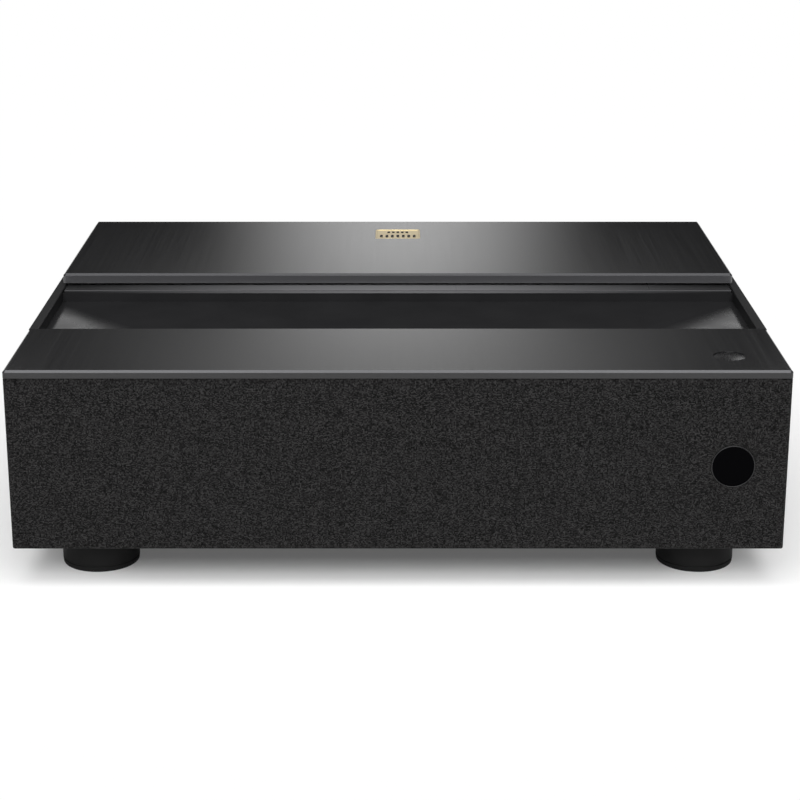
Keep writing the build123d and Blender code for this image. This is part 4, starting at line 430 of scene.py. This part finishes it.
# %% Metals
brushed_brass = brushed("brushed_gold_brass", "#C0AA78", "#DAC898", 0.3, 1.0, along="x", depth_mm=0.003)
ground_steel = brushed("ground_steel", "#9A9B9D", "#B9BABC", 0.28, 1.0, depth_mm=0.003)
extruded_aluminium = brushed("extruded_aluminium", "#B9BBBE", "#D2D4D6", 0.35, 1.0, depth_mm=0.006)
zinc_sheet = brushed("zinc_plated_sheet", "#8D9093", "#A6A9AC", 0.4, 1.0, along="x", depth_mm=0.003)
nickel_shell = brushed("nickel_plated_shell", "#B4B2AC", "#CFCDC6", 0.25, 1.0, depth_mm=0.002)
oxide_steel = brushed("black_oxide_steel", "#2B2B2C", "#3A3A3B", 0.4, 0.7)
mirror_coat = brushed("evaporated_aluminium", "#E4E6E8", "#ECEEF0", 0.06, 1.0, depth_mm=0.0002)


def cast(name, hex_code, roughness, metallic=1.0):
    """Cast skin: lumps of about 1.5 mm with finer ones on them."""
    material, tree, shader = new_material(name)
    place = add(tree, "TexCoord", out="Object")
    skin = add(tree, "TexNoise", {"Vector": place, "Scale": 700, "Detail": 4.0, "Roughness": 0.6})
    worn = (*np.minimum(np.array(colour(hex_code)[:3]) * 1.2, 1.0).tolist(), 1.0)
    fill(tree, shader, {
        "Metallic": metallic,
        "Base Color": add(tree, "Mix", {0: skin, 6: colour(hex_code), 7: worn}, 2, data_type="RGBA"),
        "Roughness": add(tree, "MapRange", [skin, 0.3, 0.7, roughness - 0.06, roughness + 0.06]),
        "Normal": add(tree, "Bump", {"Height": skin, "Distance": 0.05 * MM, "Strength": 1.0})})
    return material


cast_alloy = cast("cast_light_alloy", "#A5A7A9", 0.5)
phosphor = cast("phosphor_on_aluminium", "#D8C437", 0.7, 0.1)
print("materials so far:", len(bpy.data.materials))

# %% [markdown]
# ## Mélange speaker cloth
# The front is taken to be a plain-woven polyester cloth. Its yarns are spun from black and
# grey fibres, so the tone changes from yarn to yarn and the weave looks like fine sparkling
# noise. A weft yarn is thicker in places, which draws faint level streaks. An image could be
# tiled, but the weave is worked out from the yarns, so it has no repeat. Such yarns are about
# 0.5 mm apart, finer than shows here. They are drawn 0.8 mm apart across and 0.65 mm up.

# %% Cloth
YARN_MM = (0.8, 0.65)
KNOT_SHARE, SLUB_SHARE = 0.55, 0.28      # of each yarn's own tone, and of the level streaks
TONE_RANGE, TONE_POWER = (0.26, 0.86), 1.8


def woven(name, hex_dark, hex_light):
    """Plain weave over the cloth's own arc lengths: warp and weft are sine ridges, |sin x sin y|."""
    material, tree, shader = new_material(name)
    across, up = (1 / (pitch * MM) for pitch in YARN_MM)
    place = add(tree, "Mapping", {"Vector": add(tree, "TexCoord", out="UV"), "Scale": (across, up, 1)})
    waves = []
    for axis in ("X", "Y"):
        counted = add(tree, "SeparateXYZ", [place], axis)
        half_turn = add(tree, "Math", [counted, math.pi], operation="MULTIPLY")
        waves.append(add(tree, "Math", [half_turn], operation="SINE"))
    over = add(tree, "Math", waves, operation="MULTIPLY")
    crossing = add(tree, "VectorMath", [place], operation="FLOOR")
    knot = add(tree, "TexWhiteNoise", {"Vector": crossing}, noise_dimensions="3D")
    fibre_place = add(tree, "Mapping", {"Vector": place, "Scale": (1.3, 1.3, 1)})
    fibres = add(tree, "TexNoise", {"Vector": fibre_place, "Scale": 1.0, "Detail": 4.0, "Roughness": 0.75})
    slub_place = add(tree, "Mapping", {"Vector": place, "Scale": (0.12, 1, 1)})
    slubs = add(tree, "TexNoise", {"Vector": slub_place, "Scale": 1.0, "Detail": 2.0})
    yarns = add(tree, "Mix", {"Factor": KNOT_SHARE, "A": fibres, "B": knot})
    mixed = add(tree, "Mix", {"Factor": SLUB_SHARE, "A": yarns, "B": slubs})
    level = add(tree, "MapRange", [mixed, *TONE_RANGE, 0.0, 1.0])
    tone = add(tree, "Math", [level, TONE_POWER], operation="POWER")
    base = add(tree, "Mix", {0: tone, 6: colour(hex_dark), 7: colour(hex_light)}, 2, data_type="RGBA")
    ridges = add(tree, "Math", [over], operation="ABSOLUTE")
    height = add(tree, "Mix", {"Factor": 0.5, "A": ridges, "B": mixed})
    fill(tree, shader, {
        "Base Color": base, "Roughness": 0.95, "Specular IOR Level": 0.1,
        "Normal": add(tree, "Bump", {"Height": height, "Distance": 0.25 * MM, "Strength": 1.0}),
        "Sheen Weight": 0.05, "Sheen Roughness": 0.5})
    return material


speaker_cloth = woven("melange_polyester_cloth", "#020202", "#454444")
print("cloth has", round(1 / (YARN_MM[0] * MM)), "yarns to the metre across")

# %% [markdown]
# ## Finishes onto the frame's parts
# Each part of the frame comes with a slot that says what it is made of. A finish could be
# given to each part by hand. A table from slot to finish is shorter and misses none, and
# three parts that share the plates' slot but look different are named by themselves.

# %% Finishes onto parts
FINISHES = {
    "case_plastic": case_abs, "inner_plastic": inner_abs, "tray_plastic": tray_pc, "cloth": speaker_cloth,
    "brushed_plate": plate_finish, "badge_gloss": gloss_acrylic, "plaque_gold": brushed_brass,
    "window": smoked_glass, "lens_glass": lens_glass, "mirror_coat": mirror_coat, "cast_alloy": cast_alloy,
    "bare_aluminium": extruded_aluminium, "steel": ground_steel, "yoke_steel": zinc_sheet,
    "screw_steel": oxide_steel, "gear_nylon": gear_nylon, "carriage_nylon": carriage_nylon,
    "circuit_board": laminate, "socket_metal": nickel_shell, "socket_plastic": socket_pbt,
    "silicone": key_silicone, "foot_rubber": foot_rubber, "foot_plastic": foot_nylon,
    "fan_plastic": fan_pbt, "phosphor": phosphor,
}
# The cover's and the deck's finishes are copies of the plates' with painted light of their own.
NODE_FINISHES = {"rear_deck_plate": deck_finish, "sliding_cover": cover_finish, "power_button": button_finish}
node_slots = {part["node"]: part["material_slot"] for part in frame["record"]["subparts"]}
for node, part in frame["nodes"].items():
    for material_slot in part.material_slots:
        material_slot.material = NODE_FINISHES.get(node, FINISHES[node_slots[node]])
print("finishes on", len(node_slots), "nodes")

# %% [markdown]
# ## Surfaces from formulas
# A piece is made as the real one is. It could be modelled by hand from a cylinder or a box. A
# formula is used instead, so that it follows the frame's sizes. A turned part is a profile
# swept about an axis, and a stretched skin is one profile swept along another. The formula
# gives a grid of points, one function joins neighbours into four-sided faces, and another
# makes the mesh and its UVs.

# %% Helpers for meshes
CREASE_DEGREES = 35        # sharper edges than this stay sharp in the shading


def grid_faces(rows, columns, wrap=False):
    """Four-sided faces between neighbours of a grid; wrap joins its last column to its first."""
    index = np.arange(rows * columns).reshape(rows, columns)
    ahead = np.roll(index, -1, axis=1)
    faces = np.stack([index[:-1], ahead[:-1], ahead[1:], index[1:]], axis=-1)
    return (faces if wrap else faces[:, :-1]).reshape(-1, 4)


def piece(name, points, faces, finish, body, uv=None):
    """A mesh object that rides on a body, with a finish and, if they are given, its UVs."""
    mesh = bpy.data.meshes.new(name)
    mesh.from_pydata(np.asarray(points).tolist(), [], faces if isinstance(faces, list) else faces.tolist())
    mesh.polygons.foreach_set("use_smooth", np.ones(len(mesh.polygons), bool))
    mesh.set_sharp_from_angle(angle=math.radians(CREASE_DEGREES))
    if uv is not None:
        corner = np.empty(len(mesh.loops), int)
        mesh.loops.foreach_get("vertex_index", corner)
        mesh.uv_layers.new(name="arc_lengths").data.foreach_set("uv", np.asarray(uv)[corner].ravel())
    mesh.materials.append(finish)
    made = bpy.data.objects.new(name, mesh)
    bpy.context.collection.objects.link(made)
    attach(made, body)
    print(name, "has", len(mesh.polygons), "faces")
    return made


print("a 3 x 4 grid has", len(grid_faces(3, 4)), "faces, or", len(grid_faces(3, 4, wrap=True)), "as a tube")

# %% Rounded lines and turned surfaces
ARC_STEPS = 6              # straight steps in a rounded corner
SEGMENTS = 128             # faces round a turned piece


def softened(corners, radii):
    """A line of corners, each rounded by an arc that starts r tan(turn / 2) before it."""
    corners = [np.array(corner, float) for corner in corners]
    line = [corners[0][None]]
    for before, here, after, radius in zip(corners, corners[1:], corners[2:], radii):
        into = (here - before) / np.linalg.norm(here - before)
        out = (after - here) / np.linalg.norm(after - here)
        turn = math.atan2(into[0] * out[1] - into[1] * out[0], into @ out)
        start = here - radius * math.tan(abs(turn) / 2) * into
        spoke = -radius * math.copysign(1, turn) * np.array([-into[1], into[0]])
        angle = np.linspace(0, turn, ARC_STEPS + 1 if radius else 1)
        cos, sin = np.cos(angle), np.sin(angle)
        arc = np.stack([cos * spoke[0] - sin * spoke[1], sin * spoke[0] + cos * spoke[1]], axis=1)
        line.append(start - spoke + arc)
    return np.concatenate([*line, corners[-1][None]])


def turned(profile):
    """Surface of revolution: S(i, a) = (r_i cos a, r_i sin a, h_i), closed to a point where r = 0."""
    profile = np.array(profile)
    rings = profile[profile[:, 0] > 0]
    angle = np.linspace(0, 2 * math.pi, SEGMENTS, endpoint=False)
    height = np.repeat(rings[:, 1:2], SEGMENTS, axis=1)
    x, y = np.outer(rings[:, 0], np.cos(angle)), np.outer(rings[:, 0], np.sin(angle))
    points = np.stack([x, y, height], axis=-1).reshape(-1, 3)
    faces = grid_faces(len(rings), SEGMENTS, wrap=True).tolist()
    ring = np.arange(SEGMENTS)
    last = ring + (len(rings) - 1) * SEGMENTS
    for end, edge, ahead in ((profile[0], np.roll(ring, -1), ring), (profile[-1], last, np.roll(last, -1))):
        if end[0] == 0:
            pole = np.full(SEGMENTS, len(points))
            points = np.concatenate([points, [[0, 0, end[1]]]])
            faces += np.stack([pole, edge, ahead], axis=1).tolist()
    return points, faces


print("a turned cone has", len(turned([(0, 0), (1, 0), (0, 1)])[1]), "faces")

# %% [markdown]
# ## The cloth front
# A speaker grille's cloth is cut larger than its frame, pulled tight round it and glued
# behind, so it is one skin without a seam: flat in front, bent round the upright corners, and
# turned in over the top and bottom edges. A cloth simulation could find that shape, but a
# tight cloth simply lies on its frame, so a formula gives it. As a surface it is S(s, t). The
# plan line s runs along the front and round both corners, and the profile t runs from one
# turned edge up to the other. The cloth is punched for the badge, so there the squares of
# grid points become circles, which gives the hole a round edge without a cut.

# %% Grid round the badge
RINGS = 8                  # grid cells from the middle of the badge to the punched edge
NARROWEST = 0.3            # a strip of grid at an end is at least this share of a cell
PUNCH_GAP_MM = 0.05        # between the badge and the punched edge
low, high = (np.array(corner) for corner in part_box("front_grille"))
badge_low, badge_high = (np.array(corner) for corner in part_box("badge_disc"))
badge = (badge_low + badge_high) / 2
CELL = ((badge_high[0] - badge_low[0]) / 2 + PUNCH_GAP_MM * MM) / RINGS


def lines_through(middle, first, last):
    """Grid lines one cell apart that pass through the badge's middle, and the two ends."""
    lowest = math.ceil((first - middle) / CELL + NARROWEST)
    highest = math.floor((last - middle) / CELL - NARROWEST)
    steps = np.arange(lowest, highest + 1)
    return np.concatenate([[first], middle + CELL * steps, [last]])


def punched(x, z):
    """Squares k = max(|u|, |v|) of points pass into circles of radius k cells near the hole.

    P = (1 - b) k q / |q| + b q, with b from 0 at the hole to 1 as far out again.
    """
    q = np.stack([x - badge[0], z - badge[2]], axis=-1) / CELL
    k = np.abs(q).max(axis=-1)
    b = np.clip(k / RINGS - 1, 0, 1)
    reach = np.maximum(np.linalg.norm(q, axis=-1), 1e-9)
    share = ((1 - b) * k / reach + b)[..., None]
    moved = q * share * CELL
    return badge[0] + moved[..., 0], badge[2] + moved[..., 1], k


print("grid cell", round(CELL / MM, 2), "mm, hole", round(2 * RINGS * CELL / MM, 1), "mm across")

# %% [markdown]
# The plan line is seen from above: up the left side, round a corner, along the front, round
# the other corner and back. Each of its points has an outward direction. The profile is seen
# from the side: how far the cloth is turned in, and how high it is. A point of the skin is a
# point of the plan, moved inwards by as much as the profile is turned in.

# %% Plan and profile of the cloth
CORNER_MM, EDGE_MM, TURNED_IN_MM = 2.0, 1.0, 1.2
corner, edge, turned_in = CORNER_MM * MM, EDGE_MM * MM, TURNED_IN_MM * MM
angle = np.linspace(0, math.pi / 2, 7)
cos, sin = np.cos(angle), np.sin(angle)
across = lines_through(badge[0], low[0] + corner, high[0] - corner)
left_arc = np.stack([low[0] + corner - corner * cos, low[1] + corner - corner * sin], axis=1)
front_line = np.stack([across[1:-1], np.full(len(across) - 2, low[1])], axis=1)
right_arc = np.stack([-left_arc[::-1, 0], left_arc[::-1, 1]], axis=1)
plan = np.concatenate([[[low[0], high[1]]], left_arc, front_line, right_arc, [[high[0], high[1]]]])
flat_out = np.zeros(len(front_line))
outward = np.concatenate([[[-1, 0]], np.stack([-cos, -sin], axis=1),
                          np.stack([flat_out, flat_out - 1], axis=1),
                          np.stack([cos[::-1], -sin[::-1]], axis=1), [[1, 0]]])
upward = lines_through(badge[2], low[2] + edge, high[2] - edge)
lower = np.stack([edge - edge * sin, low[2] + edge - edge * cos], axis=1)
straight = np.stack([np.zeros(len(upward) - 2), upward[1:-1]], axis=1)
upper = np.stack([edge - edge * cos, high[2] - edge + edge * sin], axis=1)
rise = np.concatenate([[[turned_in, low[2]]], lower, straight, upper, [[turned_in, high[2]]]])
print("plan has", len(plan), "points and the profile", len(rise))

# %% [markdown]
# The grid's own arc lengths are its UVs, so that the weave runs true round the corners. Next
# to the hole the grid is bent, and the weave bends with it. The faces inside the punched edge
# are left out. A Solidify modifier gives the skin its thickness inwards.

# %% Cloth front
CLOTH_MM = 0.5
x = plan[None, :, 0] - rise[:, None, 0] * outward[None, :, 0]
y = plan[None, :, 1] - rise[:, None, 0] * outward[None, :, 1]
z = np.repeat(rise[:, 1:2], len(plan), axis=1)
x, z, k = punched(x, z)
along = np.concatenate([[0], np.cumsum(np.linalg.norm(np.diff(plan, axis=0), axis=1))])
up = np.concatenate([[0], np.cumsum(np.linalg.norm(np.diff(rise, axis=0), axis=1))])
s, t = np.meshgrid(along, up)
faces = grid_faces(*x.shape)
kept = k.ravel()[faces].mean(axis=1) > RINGS - 0.1
cloth_points = np.stack([x, y, z], axis=-1).reshape(-1, 3)
cloth_front = piece("cloth_front", cloth_points, faces[kept], speaker_cloth, "case",
                    uv=np.stack([s.ravel(), t.ravel()], axis=1))
thickness = cloth_front.modifiers.new("thickness", "SOLIDIFY")
thickness.thickness = CLOTH_MM * MM
thickness.offset = -1
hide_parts("front_grille")
print("cloth cut to", round(along[-1] / MM, 1), "x", round(up[-1] / MM, 1), "mm")

# %% [markdown]
# ## Badge
# The badge is a disc of polished acrylic in a thin turned ring. The frame has one plain disc.
# Here the acrylic is domed by 0.25 mm and stands back inside the ring, so that the ring can
# catch the light by itself. They could be cut with modifiers, but turning is how such pieces
# are made. Both are turned about an axis that points out of the front: S(i, a) laid over X,
# Z and -Y.

# %% Badge
def facing_front(points, middle):
    """Turned points (a, b, h) laid into the room: a to the right, b up and h towards the viewer."""
    return np.stack([middle[0] + points[:, 0], middle[1] - points[:, 2], middle[2] + points[:, 1]], axis=1)


RING_MM, RING_LIP_MM, LENS_SUNK_MM, DOME_MM = 0.55, 0.4, 0.5, 0.25
badge_place = (badge[0], 0, badge[2])
radius = (badge_high[0] - badge_low[0]) / 2
back, face = -badge_high[1], -badge_low[1]
inner = radius - RING_MM * MM
ring_outline = [(inner, back), (radius, back), (radius, face), (inner, face),
                (inner, face - RING_LIP_MM * MM)]
ring_points, ring_faces = turned(softened(ring_outline, (0, 0.2 * MM, 0.15 * MM)))
badge_ring = piece("badge_ring", facing_front(ring_points, badge_place), ring_faces, ring_finish,
                   "case")
slope = np.linspace(1, 0, 12)
dome = np.stack([inner * slope, face - LENS_SUNK_MM * MM + DOME_MM * MM * (1 - slope ** 2)], axis=1)
lens_points, lens_faces = turned(np.concatenate([[[0, back], [inner, back]], dome]))
badge_lens = piece("badge_lens", facing_front(lens_points, badge_place), lens_faces, gloss_acrylic,
                   "case")
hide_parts("badge_disc")

# %% [markdown]
# ## Power button
# The button is turned from bar and brushed like the plate round it. A flange under the plate
# keeps it from lifting out. Its cap glints on one side. A dish and a dome both do that, on
# opposite sides. The frame's cap has a dish 1 mm deep. Under these lamps a low dome glints on
# the side wanted, so the cap is domed here: h(r) = -rise (r / R)^2. It stands no higher than
# the frame's cap.

# %% Power button
button_low, button_high = (np.array(corner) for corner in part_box("power_button"))
button_middle = (button_low + button_high) / 2
RISE_MM, CAP_RADIUS_MM, STEM_RADIUS_MM = 0.7, 10.4, 3.0
FLANGE_MM, ROUND_MM, RIM_MM = (3.0, 5.9), 0.3, 0.1
flange = (button_high[0] - button_low[0]) / 2
cap, stem = CAP_RADIUS_MM * MM, STEM_RADIUS_MM * MM
foot_z, top_z = button_low[2], button_high[2]
under, over = (foot_z + height * MM for height in FLANGE_MM)
outline = [(0, foot_z), (stem, foot_z), (stem, under), (flange, under), (flange, over), (cap, over),
           (cap, top_z - RISE_MM * MM)]
side = softened(outline, [ROUND_MM * MM] * 5)
radii = np.linspace(cap - RIM_MM * MM, 0, 24)
dome = np.stack([radii, top_z - RISE_MM * MM * (radii / cap) ** 2], axis=1)
points, faces = turned(np.concatenate([side, dome]))
button_cap = piece("button_cap", points + [button_middle[0], button_middle[1], 0], faces, button_finish,
                   "button")
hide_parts("power_button")

# %% [markdown]
# ## Feet
# A foot is a moulding of hard black rubber, rounded where it meets the floor, with a narrow
# groove above the sole. It could be a cylinder with bevels. As a turned profile it has its
# groove and its hidden top as well. The front ones hang on a thumb screw, so each has a
# pocket for its stem. The rear ones are solid, with a stud that goes into the case.

# %% Feet
SOLE_MM, GROOVE_MM, SOLE_DRAFT_MM = 4.0, 0.5, 0.4
FOOT_ROUNDS_MM = (1.2, 0.2, 0.1, 0.2, 1.0, 0.4, 0.3)
POCKET_MM, POCKET_FLOOR_MM, STUD_MM = 8.1, 10.0, 5.0


def foot_profile(radius, floor_z, top):
    """Half section of a foot: rounded sole, groove, then the corners of its top."""
    sole, groove = floor_z + SOLE_MM * MM, GROOVE_MM * MM
    outline = [(0, floor_z), (radius - SOLE_DRAFT_MM * MM, floor_z), (radius, sole - groove),
               (radius - groove, sole), (radius, sole + groove), *top]
    return softened(outline, [round_mm * MM for round_mm in FOOT_ROUNDS_MM])


for node, body in (("foot_pad_right", "foot_right"), ("foot_pad_left", "foot_left")):
    low, high = (np.array(corner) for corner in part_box(node))
    middle, radius = (low + high) / 2, (high[0] - low[0]) / 2
    pocket, pocket_z = POCKET_MM * MM, low[2] + POCKET_FLOOR_MM * MM
    top = [(radius, high[2]), (pocket, high[2]), (pocket, pocket_z), (0, pocket_z)]
    points, faces = turned(foot_profile(radius, low[2], top))
    points = points + [middle[0], middle[1], 0]
    pad = piece(node + "_turned", points, faces, foot_rubber, body)
    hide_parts(node)

low, high = (np.array(corner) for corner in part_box("rear_feet"))
radius, case_z = (high[1] - low[1]) / 2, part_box("bottom_chassis")[0][2]
top = [(radius, case_z), (STUD_MM * MM, case_z), (STUD_MM * MM, high[2]), (0, high[2])]
points, faces = turned(foot_profile(radius, low[2], top))
pair = np.concatenate([points + [x, low[1] + radius, 0] for x in (low[0] + radius, high[0] - radius)])
faces = list(faces) + [[corner + len(points) for corner in face] for face in faces]
rear_feet = piece("rear_feet_turned", pair, faces, foot_rubber, "case")
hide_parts("rear_feet")
print("feet: two on screws, two pressed in")

# %% [markdown]
# ## Broken edges
# Sheet metal and moulded panels never end in a knife edge: a cutter or the mould breaks it by
# a few tenths of a millimetre, and that narrow strip catches the light. The panels could be
# made anew, but the frame's are right in all else. They are copied, their flat triangles
# joined into whole faces, and a bevel rounds every sharp edge.

# %% Panels with broken edges
BROKEN_MM, FLAT_DEGREES, SHARP_DEGREES = 0.35, 1, 50


def broken_edges(node):
    """A copy of a frame part, with its flat faces joined and its sharp edges rounded."""
    source = frame["nodes"][node]
    mesh = source.data.copy()
    mesh.name = node + "_edged"
    shape = bmesh.new()
    shape.from_mesh(mesh)
    bmesh.ops.remove_doubles(shape, verts=shape.verts, dist=1e-6)
    bmesh.ops.dissolve_limit(shape, angle_limit=math.radians(FLAT_DEGREES), verts=shape.verts,
                             edges=shape.edges)
    shape.to_mesh(mesh)
    shape.free()
    made = bpy.data.objects.new(node + "_edged", mesh)
    bpy.context.collection.objects.link(made)
    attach(made, "case")
    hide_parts(node)
    rounding = made.modifiers.new("broken_edges", "BEVEL")
    rounding.width = BROKEN_MM * MM
    rounding.segments = 2
    rounding.limit_method = "ANGLE"
    rounding.angle_limit = math.radians(SHARP_DEGREES)
    rounding.use_clamp_overlap = True
    return made


for node in ("top_frame", "side_panel_right", "side_panel_left", "rear_panel"):
    made = broken_edges(node)
    print(made.name, "has", len(made.data.polygons), "faces")

# %% [markdown]
# ## Plaque
# The plaque is a small plate of brushed brass let into the cover. A die stamps a raised
# border round it. In the field between stands a plain pattern of short black bars, where a
# maker would put words. A bevelled box could serve. Stamping is drawn as it is done: each
# ring of points is the outline of a rounded rectangle, drawn in by an inset that grows while
# the height follows the stamped profile.

# %% Stamped shapes
QUARTER_POINTS = 6         # points on each round corner


def rounded_rectangle(width, depth, radius):
    """Outline of a rectangle with round corners, anticlockwise from its right side."""
    angle = np.linspace(0, math.pi / 2, QUARTER_POINTS)
    quarters = []
    for n, (x_side, y_side) in enumerate(((1, 1), (-1, 1), (-1, -1), (1, -1))):
        turn = angle + n * math.pi / 2
        middle = [x_side * (width / 2 - radius), y_side * (depth / 2 - radius)]
        quarters.append(middle + radius * np.stack([np.cos(turn), np.sin(turn)], axis=1))
    return np.concatenate(quarters)


def stamped(width, depth, radius, profile):
    """Rings of a rounded rectangle: each (inset, height) of the profile is one ring, the last is filled."""
    count = 4 * QUARTER_POINTS
    rings = [np.column_stack([rounded_rectangle(width - 2 * inset, depth - 2 * inset, radius - inset),
                              np.full(count, height)]) for inset, height in profile]
    faces = grid_faces(len(rings), count, wrap=True).tolist()
    last = (len(rings) - 1) * count
    return np.concatenate(rings), faces + [list(range(last, last + count)), list(range(count))[::-1]]


print("a rounded outline has", len(rounded_rectangle(2, 1, 0.1)), "points")

# %% Plaque
BORDER_MM, SUNK_MM, PLAQUE_ROUND_MM = 1.1, 0.22, 1.6
low, high = (np.array(corner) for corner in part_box("cover_plaque"))
middle = (low + high) / 2
size = high - low
deep = size[2] / MM
profile = np.array([(0.05, -deep), (0, 0.05 - deep), (0, -0.1), (0.1, 0), (BORDER_MM, 0),
                    (BORDER_MM + 0.15, -SUNK_MM)]) * MM
points, faces = stamped(size[0], size[1], PLAQUE_ROUND_MM * MM, profile)
points = points + [middle[0], middle[1], high[2]]
plaque = piece("plaque_plate", points, faces, brushed_brass, "cover")
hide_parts("cover_plaque")

# %% [markdown]
# The bars are two rows of rounded blocks, in the badge's black acrylic so that they stay
# black from every side. The back row has five short ones, the front row seven long ones. They
# could be a texture, but as raised blocks they catch light on their edges. Each row is one
# block, repeated at its places and joined into one mesh.

# %% Bars on the plaque
BAR_WIDTH_MM, BAR_ROUND_MM = 2.2, 0.9
BAR_PROFILE_MM = [(0, -0.02), (0.05, SUNK_MM - 0.06), (0.2, SUNK_MM)]
BAR_ROWS = ((5, 0.22, 4.4, 3.6), (7, -0.2, 8.0, 4.32))     # count, place in the depth, length, pitch
for row, (count, share, length_mm, pitch_mm) in enumerate(BAR_ROWS):
    offsets = (np.arange(count) - (count - 1) / 2) * pitch_mm * MM
    bar_points, bar_faces = stamped(BAR_WIDTH_MM * MM, length_mm * MM, BAR_ROUND_MM * MM,
                                    np.array(BAR_PROFILE_MM) * MM)
    places = np.column_stack([middle[0] + offsets, np.full(count, middle[1] + share * size[1]),
                              np.full(count, high[2] - SUNK_MM * MM)])
    points = (bar_points[None] + places[:, None]).reshape(-1, 3)
    starts = np.arange(count) * len(bar_points)
    faces = [[corner + int(start) for corner in face] for start in starts for face in bar_faces]
    piece("plaque_bars_" + str(row), points, faces, gloss_acrylic, "cover")
